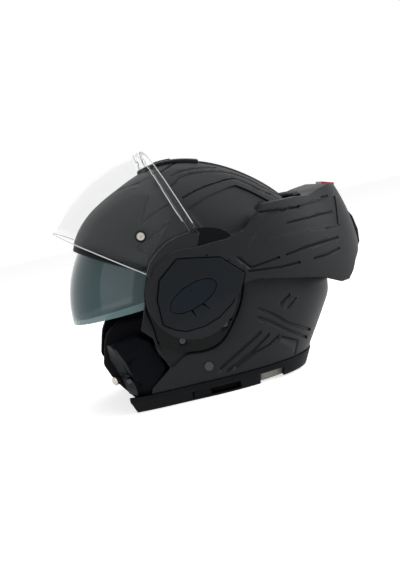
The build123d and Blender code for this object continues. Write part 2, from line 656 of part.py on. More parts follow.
with BuildPart() as buckle_tongue:
    with Locations((-BUCKLE_X - BUCKLE_DEPTH, STRAP_BACK, BUCKLE_BASE)):
        Box(TONGUE_THICKNESS, BUCKLE_WIDTH, BUCKLE_FLOOR, align=buckle_low)
        Box(TONGUE_THICKNESS, TONGUE_WIDTH, BUCKLE_HEIGHT, align=buckle_low)
write("buckle_tongue", buckle_tongue)

# Neck roll along the back of the opening
with BuildPart() as neck_roll:
    add(shell_form(NECK_DEPTH))
    add(shell_form(NECK_DEPTH + NECK_THICKNESS), mode=Mode.SUBTRACT)
    add(prism(spots(NECK_SHARES), -OVERRUN, OVERRUN), mode=Mode.INTERSECT)
    add(slab(NECK_LIFT, TRIM_TOP - SOFT_GAP), mode=Mode.INTERSECT)
write("neck_roll", neck_roll)

# Lower rim: rubber edge trim and the cover that the helmet stands on
front_line = spots(RIM_FRONT_SHARES)
with BuildPart() as trim_band:
    add(prism(spots(REAR_LIP_SHARES), -OVERRUN, OVERRUN))
    add(slab(LIP_LIFT, TRIM_TOP), mode=Mode.INTERSECT)
    add(slab(RIM_HEIGHT + FIT_GAP, TRIM_TOP))
with BuildPart() as rim_trim:
    add(shell_form(-TRIM_PROUD))
    add(shell_form(TRIM_DEPTH), mode=Mode.SUBTRACT)
    add(prism(front_line, -OVERRUN, OVERRUN), mode=Mode.SUBTRACT)
    add(trim_band.part, mode=Mode.INTERSECT)
write("rim_trim", rim_trim)

with BuildPart() as rim_cover_left:
    add(shell_form(COVER_DEPTH))
    add(shell_form(RIM_DEPTH), mode=Mode.SUBTRACT)
    add(slab(0, RIM_HEIGHT), mode=Mode.INTERSECT)
    add(prism(front_line, -OVERRUN, OVERRUN), mode=Mode.SUBTRACT)
    add(prism(spots(NECK_SHARES), -OVERRUN, OVERRUN, SOFT_GAP), mode=Mode.SUBTRACT)
    add(prism(spots(COVER_ZONE_SHARES), CHEEK_MIDDLE, OVERRUN), mode=Mode.INTERSECT)
with BuildPart() as rim_cover_right:
    mirror(rim_cover_left.part, about=Plane.YZ)
write("rim_cover_right", rim_cover_right)
with rim_cover_left:
    with BuildSketch(Plane.XY.offset(SLIDER_BASE - SLIDER_CLEAR)):
        with Locations((RIM_SLIDER_X, RIM_SLIDER_Y + SLIDER_TRAVEL / 2)):
            Rectangle(OVERRUN, SLIDER_LENGTH + SLIDER_TRAVEL + 2 * SLIDER_CLEAR, align=(Align.MIN, Align.CENTER))
    extrude(amount=SLIDER_HEIGHT + 2 * SLIDER_CLEAR, mode=Mode.SUBTRACT)
write("rim_cover_left", rim_cover_left)

with BuildPart() as sun_visor_slider:
    with BuildSketch(Plane.XY.offset(SLIDER_BASE)):
        with Locations((RIM_SLIDER_X + SLIDER_CLEAR, RIM_SLIDER_Y)):
            Rectangle(SLIDER_DEPTH, SLIDER_LENGTH, align=(Align.MIN, Align.CENTER))
    extrude(amount=SLIDER_HEIGHT)
    grip = sun_visor_slider.edges().filter_by(Axis.Z).sort_by(Axis.X)[-2:]
    fillet(grip, SLIDER_DEPTH / 3)
write("sun_visor_slider", sun_visor_slider)

# Cheek fronts beside the chin bar, with the latch slot and its pin
SWEEP_LIMIT = swept_form(CHIN_INNER_RADIUS - CHEEK_CLEAR, CHIN_INNER_HALF_WIDTH - CHEEK_CLEAR)


def cheek_block(inset):
    """Solid between the inner, corner and outer outlines of the cheek front."""
    with BuildPart() as block:
        for x, shares in ((CHEEK_INNER_X, CHEEK_INNER_SHARES), (CHEEK_CORNER_X - inset, CHEEK_CORNER_SHARES),
                          (CHEEK_OUTER_X - inset, CHEEK_OUTER_SHARES)):
            with BuildSketch(side(x)):
                with BuildLine():
                    Polyline(*spots(shares), close=True)
                make_face()
                if inset:
                    offset(amount=-inset, kind=Kind.INTERSECTION)
        loft(ruled=True)
    return block.part


latch_spot = arc_spot(LATCH_RADIUS, LATCH_ANGLE)
slot_line = sector(LATCH_RADIUS - SLOT_INSIDE, LATCH_RADIUS + SLOT_OUTSIDE, LATCH_ANGLE - SLOT_BEFORE,
                   LATCH_ANGLE + SLOT_AFTER)
with BuildPart() as cheek_front:
    add(cheek_block(0))
    add(SWEEP_LIMIT, mode=Mode.INTERSECT)
    add(prism(brow_line + port_line, -OVERRUN, OVERRUN, -SOFT_GAP), mode=Mode.INTERSECT)
    add(shell_form(CHEEK_FOAM_DEPTH - SOFT_GAP), mode=Mode.SUBTRACT)
    add(slab(-OVERRUN, TRIM_TOP + FIT_GAP), mode=Mode.SUBTRACT)
    add(prism(slot_line, LATCH_X - FIT_GAP, OVERRUN), mode=Mode.SUBTRACT)
    add(rod(LATCH_PIN_RADIUS, LATCH_X - LATCH_GRIP, LATCH_X, *latch_spot), mode=Mode.SUBTRACT)
write_pair("cheek_front", cheek_front)

with BuildPart() as latch_pin:
    add(rod(LATCH_PIN_RADIUS - FIT_GAP, LATCH_X - LATCH_GRIP, LATCH_X + LATCH_REACH, *latch_spot))
write_pair("latch_pin", latch_pin)


# Round-headed studs on the slanting cheek fronts
STUD_SPOT = side(STUD_X).from_local_coords((*spots([STUD_SHARES])[0], 0))
STUD_PLANE = Plane(origin=STUD_SPOT, z_dir=SIDE.z_dir * 0.55 - SIDE.x_dir * 0.78 - SIDE.y_dir * 0.3)
with BuildPart() as latch_stud:
    with BuildSketch(STUD_PLANE) as stud_seat:
        Circle(STUD_NECK_RADIUS)
    extrude(amount=STUD_STAND, both=True)
    with BuildSketch(STUD_PLANE.offset(STUD_STAND)):
        Circle(STUD_HEAD_RADIUS)
    extrude(amount=STUD_HEAD)
    chamfer(latch_stud.faces().sort_by(Axis(STUD_PLANE.origin, STUD_PLANE.z_dir))[-1].edges(), STUD_HEAD / 3)
write_pair("latch_stud", latch_stud)


# Pivots: base plate, axle and cap on each side
VISOR_INSIDE = swept_form(VISOR_RADIUS - VISOR_WALL - PLATE_CLEAR, VISOR_HALF_WIDTH - VISOR_WALL - PLATE_CLEAR)
with BuildPart() as seat:
    add(shell_form(-FIT_GAP))
    add(side_recess(RECESS_X + FIT_GAP, 0), mode=Mode.SUBTRACT)
with BuildPart() as base_plate:
    add(smooth_prism(recess_line, PLATE_INSIDE_X, BASE_PLATE_X, -PLATE_MARGIN))
    add(VISOR_INSIDE, mode=Mode.INTERSECT)
    add(seat.part, mode=Mode.SUBTRACT)
    add(rod(AXLE_RADIUS + FIT_GAP, 0, OVERRUN, 0, 0), mode=Mode.SUBTRACT)
    for back, up in spots(PLATE_SCREW_SHARES):
        add(rod(PLATE_SCREW_RADIUS, BASE_PLATE_X - PLATE_SCREW_SINK, OVERRUN, back, up), mode=Mode.SUBTRACT)
write_pair("base_plate", base_plate)

with BuildPart() as pivot_axle:
    add(rod(AXLE_RADIUS, RECESS_X - RECESS_WALL, CAP_SEAT_X + AXLE_STEP, 0, 0))
write_pair("pivot_axle", pivot_axle)

with BuildPart() as pivot_cap:
    add(rod(AXLE_CAP_RADIUS, CAP_SEAT_X + AXLE_STEP, CAP_SEAT_X + AXLE_STEP + AXLE_CAP, 0, 0))
    with BuildSketch(side(CAP_SEAT_X + AXLE_STEP + AXLE_CAP)):
        RegularPolygon(CAP_KEY_RADIUS, 6)
    extrude(amount=-AXLE_CAP / 2, mode=Mode.SUBTRACT)
write_pair("pivot_cap", pivot_cap)

with BuildPart() as base_plate_screws:
    for back, up in spots(PLATE_SCREW_SHARES):
        add(rod(PLATE_SCREW_RADIUS - RUN_GAP, BASE_PLATE_X - PLATE_SCREW_SINK, BASE_PLATE_X, back, up))
    mirror(about=Plane.YZ)
write("base_plate_screws", base_plate_screws)

# Clear visor with its inner insert, pins and side arms
VISOR_OUTSIDE = swept_form(VISOR_RADIUS, VISOR_HALF_WIDTH)
fan_line = spots(VISOR_FAN_SHARES)
pin_back, pin_up = spots([INSERT_PIN_SHARES])[0]
with BuildPart() as fans:
    add(prism(fan_line, VISOR_FAN_INSIDE_X, OVERRUN, FIT_GAP))
    mirror(about=Plane.YZ)
with BuildPart() as visor:
    add(swept_form(VISOR_RADIUS + VISOR_RIB, VISOR_HALF_WIDTH + VISOR_RIB))
    add(prism(spots(VISOR_RIB_SHARES), -OVERRUN, OVERRUN), mode=Mode.INTERSECT)
    add(VISOR_OUTSIDE)
    add(swept_form(VISOR_RADIUS - VISOR_WALL, VISOR_HALF_WIDTH - VISOR_WALL), mode=Mode.SUBTRACT)
    add(prism(spots(VISOR_SHARES), -OVERRUN, OVERRUN), mode=Mode.INTERSECT)
    add(fans.part, mode=Mode.SUBTRACT)
    add(rod(INSERT_PIN_RADIUS, -OVERRUN, OVERRUN, pin_back, pin_up), mode=Mode.SUBTRACT)
write("visor", visor)

with BuildPart() as visor_insert:
    add(swept_form(VISOR_RADIUS - VISOR_WALL - INSERT_GAP, VISOR_HALF_WIDTH - VISOR_WALL - INSERT_GAP))
    add(VISOR_INSIDE, mode=Mode.SUBTRACT)
    add(prism(spots(INSERT_SHARES), -OVERRUN, OVERRUN), mode=Mode.INTERSECT)
    add(rod(INSERT_PIN_RADIUS + FIT_GAP, -OVERRUN, OVERRUN, pin_back, pin_up), mode=Mode.SUBTRACT)
write("visor_insert", visor_insert)

with BuildPart() as insert_pin:
    add(rod(INSERT_PIN_RADIUS, INSERT_PIN_X, INSERT_PIN_X + INSERT_PIN_LENGTH, pin_back, pin_up))
    with BuildSketch(side(INSERT_PIN_X + INSERT_PIN_LENGTH)):
        with Locations((pin_back, pin_up)):
            Circle(INSERT_PIN_RADIUS * INSERT_SLOT_SHARE)
    extrude(amount=-INSERT_PIN_LENGTH / 3, mode=Mode.SUBTRACT)
write_pair("insert_pin", insert_pin)

with BuildPart() as arm_layer:
    add(VISOR_OUTSIDE)
    add(swept_form(VISOR_RADIUS - VISOR_WALL, VISOR_HALF_WIDTH - VISOR_WALL), mode=Mode.SUBTRACT)
    add(prism(fan_line, VISOR_FAN_INSIDE_X, VISOR_ARM_X), mode=Mode.INTERSECT)
with BuildPart() as visor_arm:
    add(rod(VISOR_HUB_RADIUS, BASE_PLATE_X + RUN_GAP, VISOR_ARM_X, 0, 0))
    add(arm_layer.part)
    add(rod(AXLE_RADIUS + AXLE_RUN, 0, OVERRUN, 0, 0), mode=Mode.SUBTRACT)
write_pair("visor_arm", visor_arm)

# Smoke sun visor and its pivots
with BuildPart() as sun_visor:
    add(swept_form(SUN_RADIUS, SUN_HALF_WIDTH, sun_centre))
    add(swept_form(SUN_RADIUS - SUN_WALL, SUN_HALF_WIDTH - SUN_WALL, sun_centre), mode=Mode.SUBTRACT)
    add(prism(spots(SUN_SHARES), -OVERRUN, OVERRUN), mode=Mode.INTERSECT)
    add(rod(SUN_PIVOT_RADIUS + AXLE_RUN, -OVERRUN, OVERRUN, *sun_centre), mode=Mode.SUBTRACT)
write("sun_visor", sun_visor)

with BuildPart() as sun_visor_pivot:
    add(rod(SUN_PIVOT_RADIUS, SUN_HALF_WIDTH - SUN_WALL, RECESS_X - RECESS_WALL, *sun_centre))
write_pair("sun_visor_pivot", sun_visor_pivot)

# Crown vent and its slider
with BuildPart() as vent_pocket:
    add(plan(VENT_POCKET_PLAN, 0, OVERRUN))
    add(shell_form(-VENT_FLOOR), mode=Mode.SUBTRACT)
with BuildPart() as top_vent:
    add(shell_form(-VENT_PROUD))
    add(shell_form(-FIT_GAP), mode=Mode.SUBTRACT)
    add(plan(VENT_PLAN, 0, OVERRUN), mode=Mode.INTERSECT)
    add(vent_pocket.part, mode=Mode.SUBTRACT)
write("top_vent", top_vent)

with BuildPart() as top_vent_slider:
    add(shell_form(-VENT_PROUD - SLIDER_PROUD))
    add(shell_form(-VENT_FLOOR - VENT_FLOAT), mode=Mode.SUBTRACT)
    add(plan(VENT_SLIDER_PLAN, 0, OVERRUN), mode=Mode.INTERSECT)
write("top_vent_slider", top_vent_slider)

# Chin bar: outer moulding with two hubs
CHIN_INSIDE = swept_form(CHIN_INNER_RADIUS, CHIN_INNER_HALF_WIDTH)
chin_line = spots(CHIN_SHARES)
with BuildPart() as chin_hollow:
    add(swept_form(CHIN_RADIUS - CHIN_WALL, CHIN_HALF_WIDTH - CHIN_WALL))
    add(prism(chin_line, -OVERRUN, OVERRUN, -CHIN_WALL), mode=Mode.INTERSECT)
    add(rod(HUB_RADIUS + HUB_RIM, -OVERRUN, OVERRUN, 0, 0), mode=Mode.SUBTRACT)
with BuildPart() as hubs:
    add(rod(HUB_RADIUS, HUB_INNER_X, OVERRUN, 0, 0))
    add(swept_form(CHIN_RADIUS, CHIN_HALF_WIDTH), mode=Mode.INTERSECT)
    mirror(about=Plane.YZ)
cover_line = spots(COVER_SHARES)
with BuildPart() as hub_cuts:
    add(prism(cover_line, COVER_SEAT_X, OVERRUN))
    add(rod(AXLE_CAP_RADIUS + RUN_GAP, CAP_SEAT_X, OVERRUN, 0, 0))
    add(rod(AXLE_RADIUS + AXLE_RUN, HUB_RADIUS, OVERRUN, 0, 0))
    mirror(about=Plane.YZ)
hook_pivot = arc_spot(HOOK_PIVOT_RADIUS, LATCH_ANGLE - HOOK_BEHIND - CHIN_SWING)
hook_slot = swing(sector(LATCH_RADIUS - SLOT_INSIDE, LATCH_RADIUS + HOOK_WINDOW, LATCH_ANGLE - HOOK_BEHIND - HOOK_FREE,
                         LATCH_ANGLE + SLOT_AFTER), -CHIN_SWING)
with BuildPart() as hook_slots:
    add(prism(hook_slot, HOOK_X - RUN_GAP, HOOK_X + HOOK_WALL + RUN_GAP))
    add(rod(HOOK_PIN_RADIUS, HOOK_X, HOOK_X + HOOK_WALL + HOOK_PIN_OVER, *hook_pivot))
    mirror(about=Plane.YZ)
vent_line = spots(CHIN_VENT_SHARES)
button_line = spots(BUTTON_SHARES)
button_pocket_line = spots(BUTTON_POCKET_SHARES)
with BuildPart() as chin_relief:
    add(prism(spots(BEVEL_SHARES), -OVERRUN, OVERRUN))
    add(swept_form(CHIN_RADIUS - BAND_DEPTH, CHIN_HALF_WIDTH - BAND_DEPTH), mode=Mode.SUBTRACT)
with BuildPart() as chin_bar:
    add(swept_form(CHIN_RADIUS, CHIN_HALF_WIDTH))
    add(chin_relief.part, mode=Mode.SUBTRACT)
    add(prism(chin_line, -OVERRUN, OVERRUN), mode=Mode.INTERSECT)
    add(CHIN_INSIDE, mode=Mode.SUBTRACT)
    add(hubs.part)
    add(chin_hollow.part, mode=Mode.SUBTRACT)
    add(hook_slots.part, mode=Mode.SUBTRACT)
    add(hub_cuts.part, mode=Mode.SUBTRACT)
    add(prism(vent_line, -VENT_HALF_WIDTH - FIT_GAP, VENT_HALF_WIDTH + FIT_GAP, FIT_GAP), mode=Mode.SUBTRACT)
    add(prism(button_pocket_line, -BUTTON_HALF_WIDTH - RUN_GAP, BUTTON_HALF_WIDTH + RUN_GAP, RUN_GAP), mode=Mode.SUBTRACT)
write("chin_bar", chin_bar)

# Inner cover of the chin bar, with the ears that hold the latch hooks
with BuildPart() as chin_cover:
    add(swept_form(CHIN_INNER_RADIUS + CHIN_COVER_WALL, CHIN_INNER_HALF_WIDTH + CHIN_COVER_WALL))
    add(CHIN_INSIDE, mode=Mode.SUBTRACT)
    add(prism(chin_line, -OVERRUN, OVERRUN, -CHIN_WALL - FIT_GAP), mode=Mode.INTERSECT)
    add(rod(HUB_RADIUS + HUB_RIM + FIT_GAP, -OVERRUN, OVERRUN, 0, 0), mode=Mode.SUBTRACT)
    add(hook_slots.part, mode=Mode.SUBTRACT)
write("chin_cover", chin_cover)

# Foam inside the chin
with BuildPart() as chin_foam:
    add(swept_form(CHIN_RADIUS - CHIN_WALL - SOFT_GAP, CHIN_HALF_WIDTH - CHIN_WALL - SOFT_GAP))
    add(swept_form(CHIN_INNER_RADIUS + CHIN_COVER_WALL + SOFT_GAP, CHIN_INNER_HALF_WIDTH + CHIN_COVER_WALL + SOFT_GAP),
        mode=Mode.SUBTRACT)
    add(prism(chin_line, -CHIN_FOAM_HALF_WIDTH, CHIN_FOAM_HALF_WIDTH, -CHIN_WALL - SOFT_GAP), mode=Mode.INTERSECT)
    add(prism(vent_line, -VENT_HALF_WIDTH - VENT_AIR, VENT_HALF_WIDTH + VENT_AIR, VENT_AIR), mode=Mode.SUBTRACT)
    add(prism(button_line, -BUTTON_HALF_WIDTH - VENT_AIR, BUTTON_HALF_WIDTH + VENT_AIR, VENT_AIR), mode=Mode.SUBTRACT)
write("chin_foam", chin_foam)

# Latch hooks
hook_line = swing(
    sector(LATCH_RADIUS + HOOK_INSIDE, LATCH_RADIUS + HOOK_OUTSIDE, LATCH_ANGLE - HOOK_BEHIND, LATCH_ANGLE + HOOK_NOSE_START)
    , -CHIN_SWING)
nose_line = swing(
    sector(LATCH_RADIUS - HOOK_NOSE, LATCH_RADIUS + HOOK_OUTSIDE, LATCH_ANGLE + HOOK_NOSE_START, LATCH_ANGLE + HOOK_NOSE_END),
    -CHIN_SWING)
with BuildPart() as latch_hook:
    add(prism(hook_line, HOOK_X, HOOK_X + HOOK_WALL))
    add(prism(nose_line, HOOK_X, HOOK_X + HOOK_WALL))
    add(rod(HOOK_EYE_RADIUS, HOOK_X, HOOK_X + HOOK_WALL, *hook_pivot))
    add(rod(HOOK_PIN_RADIUS + AXLE_RUN, 0, OVERRUN, *hook_pivot), mode=Mode.SUBTRACT)
write_pair("latch_hook", latch_hook)

with BuildPart() as hook_pin:
    add(rod(HOOK_PIN_RADIUS, HOOK_X - RUN_GAP / 2, HOOK_X + HOOK_WALL + HOOK_PIN_OVER, *hook_pivot))
write_pair("hook_pin", hook_pin)

# Chin vent, release button and curtain
with BuildPart() as chin_vent:
    add(prism(vent_line, -VENT_HALF_WIDTH, VENT_HALF_WIDTH))
    add(prism(vent_line, -VENT_HALF_WIDTH + VENT_FRAME, VENT_HALF_WIDTH - VENT_FRAME, -VENT_FRAME), mode=Mode.SUBTRACT)
    for low, high in VENT_LOUVRE_SHARES:
        add(prism(spots([(0.75, low), (1.2, low), (1.2, high), (0.75, high)]), -VENT_HALF_WIDTH + VENT_FRAME * 2,
                  VENT_HALF_WIDTH - VENT_FRAME * 2), mode=Mode.SUBTRACT)
write("chin_vent", chin_vent)

with BuildPart() as chin_vent_shutter:
    add(prism(spots(SHUTTER_SHARES), -SHUTTER_HALF_WIDTH, SHUTTER_HALF_WIDTH))
    add(prism(spots(KNOB_SHARES), -SHUTTER_KNOB, SHUTTER_KNOB))
write("chin_vent_shutter", chin_vent_shutter)

with BuildPart() as release_button:
    add(prism(button_line, -BUTTON_HALF_WIDTH, BUTTON_HALF_WIDTH))
write("release_button", release_button)

with BuildPart() as chin_curtain:
    add(prism(spots(CURTAIN_SHARES), -OVERRUN, OVERRUN))
    add(swept_form(CHIN_INNER_RADIUS - SOFT_GAP, CHIN_INNER_HALF_WIDTH - SOFT_GAP), mode=Mode.INTERSECT)
write("chin_curtain", chin_curtain)

# Pod covers and their oval insets
COVER_FACE = swept_form(CHIN_RADIUS + COVER_PROUD, CHIN_HALF_WIDTH + COVER_PROUD)
oval_back, oval_up = spots([OVAL_SHARES])[0]
with BuildPart() as oval_block:
    with BuildSketch(side(COVER_SEAT_X + COVER_FLOOR)) as oval:
        with Locations(Location((oval_back, oval_up), OVAL_TURN)):
            Ellipse(OVAL_LONG, OVAL_SHORT)
    extrude(oval.sketch, amount=OVERRUN)
rise = math.radians(POD_FACET_RISE)
slope = math.radians(POD_FACET_SLOPE)
along = SIDE.x_dir * math.cos(rise) + SIDE.y_dir * math.sin(rise)
inwards = SIDE.x_dir * math.sin(rise) - SIDE.y_dir * math.cos(rise)
facet_out = SIDE.z_dir * math.cos(slope) + inwards * math.sin(slope)
facet_spot = side(CHIN_HALF_WIDTH + COVER_PROUD).from_local_coords((*spots([POD_FACET_SHARES])[0], 0))
with BuildPart() as pod_facet:
    with BuildSketch(Plane(origin=facet_spot, x_dir=along, z_dir=facet_out)) as cut:
        Rectangle(OVERRUN, OVERRUN)
    extrude(cut.sketch, amount=OVERRUN)
with BuildPart() as pod_cover:
    add(prism(cover_line, COVER_SEAT_X + FIT_GAP, OVERRUN, -COVER_GROOVE))
    add(COVER_FACE, mode=Mode.INTERSECT)
    add(oval_block.part, mode=Mode.SUBTRACT)
    add(pod_facet.part, mode=Mode.SUBTRACT)
write_pair("pod_cover", pod_cover)

with BuildPart() as oval_inset:
    with BuildSketch(side(COVER_SEAT_X + COVER_FLOOR)) as oval:
        with Locations(Location((oval_back, oval_up), OVAL_TURN)):
            Ellipse(OVAL_LONG - OVAL_GROOVE, OVAL_SHORT - OVAL_GROOVE)
    extrude(oval.sketch, amount=OVERRUN)
    add(swept_form(CHIN_RADIUS + COVER_PROUD - OVAL_SINK, CHIN_HALF_WIDTH + COVER_PROUD - OVAL_SINK), mode=Mode.INTERSECT)
write_pair("oval_inset", oval_inset)
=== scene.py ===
"""Modular motorcycle helmet: finishes, shaped mouldings, linings, studio and camera."""
import json
import logging
import math
from dataclasses import dataclass, field
from enum import Enum

import bmesh
import bpy
from mathutils import Matrix, Vector
from mathutils.bvhtree import BVHTree

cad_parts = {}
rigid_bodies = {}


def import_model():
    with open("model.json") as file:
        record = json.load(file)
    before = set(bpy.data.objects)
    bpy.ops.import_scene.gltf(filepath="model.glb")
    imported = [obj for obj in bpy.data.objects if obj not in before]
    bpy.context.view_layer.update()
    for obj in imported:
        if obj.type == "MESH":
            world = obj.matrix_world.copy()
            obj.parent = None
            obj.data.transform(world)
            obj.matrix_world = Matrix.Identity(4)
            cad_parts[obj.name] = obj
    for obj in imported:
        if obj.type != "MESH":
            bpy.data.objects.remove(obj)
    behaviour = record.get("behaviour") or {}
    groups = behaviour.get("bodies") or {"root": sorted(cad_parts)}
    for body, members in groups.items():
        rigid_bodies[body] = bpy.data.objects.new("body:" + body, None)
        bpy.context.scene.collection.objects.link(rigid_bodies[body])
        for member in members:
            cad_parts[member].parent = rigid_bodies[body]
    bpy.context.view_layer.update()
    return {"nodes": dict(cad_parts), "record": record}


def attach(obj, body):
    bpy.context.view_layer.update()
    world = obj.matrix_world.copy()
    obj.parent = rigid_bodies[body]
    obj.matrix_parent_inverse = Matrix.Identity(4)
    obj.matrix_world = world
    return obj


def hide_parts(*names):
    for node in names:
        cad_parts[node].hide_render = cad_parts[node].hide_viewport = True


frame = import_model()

log = logging.getLogger("helmet")
MM = 0.001
TILT = math.radians(13.0)
PIVOT_HEIGHT = 111.0
PIVOT_FORWARD = 38.3
WORN = (Matrix.Translation(Vector((0, -PIVOT_FORWARD, PIVOT_HEIGHT)) * MM)
        @ Matrix.Rotation(-TILT, 4, "X") @ Matrix.Scale(MM, 4))
# Millimetres within which loose corners of a CAD mesh are one
WELD = 0.002
# Edges shorter than this many millimetres are slivers
SLIVER = 0.001
# Millimetres between the points of a line that is laid on a surface
LINE_STEP = 3
# Share of the swept surface's direction from which a face counts as the sheet's broad side
SHEET_FACING = 0.75


class Body(Enum):
    """Rigid bodies of the frame."""

    HELMET = "helmet"
    VISOR = "visor"
    SUN_VISOR = "sun_visor"
    SUN_VISOR_SLIDER = "sun_visor_slider"
    CHIN_BAR = "chin_bar"
    RELEASE_BUTTON = "release_button"
    LATCH_HOOK_LEFT = "latch_hook_left"
    LATCH_HOOK_RIGHT = "latch_hook_right"
    CHIN_VENT_SHUTTER = "chin_vent_shutter"
    TOP_VENT_SLIDER = "top_vent_slider"


def linear(code: str) -> tuple[float, float, float, float]:
    """Linear colour of an sRGB hex code.

    Args:
        code: six hex digits, such as "1c1d20".

    Returns:
        The colour's linear red, green, blue and an alpha of 1.
    """
    levels = [int(code[i:i + 2], 16) / 255 for i in (0, 2, 4)]
    return (*(v / 12.92 if v <= 0.04045 else ((v + 0.055) / 1.055) ** 2.4 for v in levels), 1.0)


def put(tree: bpy.types.NodeTree, kind: str, links: dict[str, bpy.types.NodeSocket] | None = None,
        **settings: object) -> bpy.types.Node:
    """Add a shader node.

    Args:
        tree: the node tree to add to.
        kind: the node's type name without "ShaderNode".
        links: input name to the socket that feeds it.
        settings: node properties, or input values where the name starts with "in_".

    Returns:
        The new node.
    """
    node = tree.nodes.new("ShaderNode" + kind)
    for name, value in settings.items():
        if name.startswith("in_"):
            node.inputs[name[3:].replace("_", " ")].default_value = value
        else:
            setattr(node, name, value)
    for name, socket in (links or {}).items():
        tree.links.new(socket, node.inputs[name])
    return node


@dataclass(frozen=True)
class Finish:
    """A surface finish on one Principled shader.

    Attributes:
        name: material name.
        colour: sRGB hex code.
        roughness: micro roughness.
        specular: specular level, 0.5 for a plain dielectric.
        metallic: 1 for metals.
        grain_mm: size of the surface grain in millimetres, 0 for none.
        grain_depth: strength of the grain.
        alpha: opacity of thin tinted sheets, 1 for solids.
        ior: index of refraction.
    """

    name: str
    colour: str
    roughness: float = 0.5
    specular: float = 0.5
    metallic: float = 0.0
    grain_mm: float = 0.0
    grain_depth: float = 0.1
    alpha: float = 1.0
    ior: float = 1.5

    def build(self) -> bpy.types.Material:
        """Material for this finish, made once.

        Returns:
            The Blender material.
        """
        known = bpy.data.materials.get(self.name)
        if known:
            return known
        material = bpy.data.materials.new(self.name)
        material.use_nodes = True
        tree = material.node_tree
        shader = tree.nodes["Principled BSDF"]
        shader.inputs["Base Color"].default_value = linear(self.colour)
        shader.inputs["Roughness"].default_value = self.roughness
        shader.inputs["Specular IOR Level"].default_value = self.specular
        shader.inputs["Metallic"].default_value = self.metallic
        shader.inputs["Alpha"].default_value = self.alpha
        shader.inputs["IOR"].default_value = self.ior
        material.diffuse_color = linear(self.colour)
        if self.grain_mm:
            place = put(tree, "TexCoord")
            grain = put(tree, "TexNoise", {"Vector": place.outputs["Object"]},
                        in_Scale=1 / (self.grain_mm * MM), in_Detail=2.0)
            bump = put(tree, "Bump", {"Height": grain.outputs["Fac"]},
                       in_Strength=self.grain_depth, in_Distance=self.grain_mm * MM * 0.2)
            tree.links.new(bump.outputs["Normal"], shader.inputs["Normal"])
        return material


# Matt lacquer over moulded thermoplastic: broad soft sheen with a very fine orange peel
MATT_LACQUER = Finish("matt_black_lacquer_on_abs", "161719", 0.48, 0.11, grain_mm=1.2, grain_depth=0.05)
# Polished injection-moulded ABS: near black with sharp reflections
GLOSS_ABS = Finish("polished_black_abs", "030406", 0.16, 0.1)
# Polished cheek moulding, black with a soft blue sheen
CHEEK_ABS = Finish("blue_black_cheek_abs", "04060a", 0.5, 0.035)
# Side arms and ratchet strips of the visor
ARM_ABS = Finish("polished_arm_abs", "06080c", 0.12, 0.3)
# Moulded rubber edge strip
EDGE_RUBBER = Finish("moulded_black_rubber", "08090b", 0.6, 0.07, grain_mm=1.0, grain_depth=0.1)
# Expanded polystyrene beads, grey black
BEAD_FOAM = Finish("grey_bead_foam", "1a1b1d", 0.85, 0.1, grain_mm=3.5, grain_depth=0.5)
# Knitted polyester over foam
KNIT = Finish("black_knitted_polyester", "0b0b0e", 0.95, 0.05, grain_mm=1.6, grain_depth=0.6)
# Artificial leather of the neck roll, grey
NECK_HIDE = Finish("grey_artificial_leather", "6e6b66", 0.6, 0.3, grain_mm=2.0, grain_depth=0.25)
# Moulded textured nylon of vents and rims
TEXTURED_NYLON = Finish("textured_black_nylon", "0b0c0e", 0.55, 0.08, grain_mm=1.0, grain_depth=0.2)
# Satin pod moulding, a little bluer than the shell
SATIN_ABS = Finish("satin_blue_black_abs", "0f1216", 0.42, 0.09, grain_mm=1.0, grain_depth=0.04)
# Darker bluish oval inset, smooth moulded
OVAL_ABS = Finish("smooth_navy_black_abs", "080f17", 0.3, 0.1)
# Hard-coated clear polycarbonate
CLEAR_SHEET = Finish("clear_hard_coated_polycarbonate", "8d9394", 0.03, 0.5, alpha=0.025)
# Cut edge of the clear sheet, with its highlight painted on as an opaque pale grey
PAINTED_EDGE_HIGHLIGHT = Finish("polycarbonate_edge_painted_highlight", "c9cccd", 0.15, 0.6)
# Clear anti-fog insert and its silicone bead
FOG_SHEET = Finish("clear_anti_fog_film", "8d9394", 0.05, 0.4, alpha=0.02)
SEAL_BEAD = Finish("translucent_grey_silicone", "a9adae", 0.3, 0.6, alpha=0.8)
# Smoke tinted polycarbonate with a green-blue cast
SMOKE_SHEET = Finish("smoke_tinted_polycarbonate", "2f4548", 0.06, 0.35, alpha=0.88)
# Lower lip of the clear visor, ribbed, with its reflections painted in as a pale half-opaque grey
LOWER_LIP = Finish("ribbed_lip_with_painted_reflections", "a2a6a8", 0.12, 0.6, alpha=0.45)
# Lighter lower band of the sun visor
PALE_SMOKE = Finish("pale_smoke_polycarbonate", "587072", 0.06, 0.35, alpha=0.8)
# Nickel plated turned steel
PLATED_STEEL = Finish("nickel_plated_steel", "b5b2a6", 0.3, metallic=1.0)
# Zinc plated dark fasteners
DARK_ZINC = Finish("dark_zinc_steel", "3a3b3e", 0.4, metallic=1.0)
# Red injection-moulded button
RED_ABS = Finish("red_moulded_abs", "8c1414", 0.35, 0.5)
# Woven polyester webbing
WEBBING = Finish("woven_black_webbing", "15161a", 0.8, 0.2, grain_mm=1.2, grain_depth=0.5)

FRAME_FINISHES: dict[str, Finish] = {
    "shell_paint": MATT_LACQUER, "gloss_black": GLOSS_ABS, "edge_rubber": EDGE_RUBBER,
    "liner_foam": BEAD_FOAM, "liner_fabric": KNIT, "neck_fabric": NECK_HIDE,
    "clear_visor": CLEAR_SHEET, "smoke_visor": SMOKE_SHEET, "pod_plastic": SATIN_ABS,
    "steel": PLATED_STEEL, "dark_metal": DARK_ZINC, "arm_plastic": GLOSS_ABS,
    "red_button": RED_ABS, "trim_plastic": TEXTURED_NYLON, "webbing": WEBBING,
}


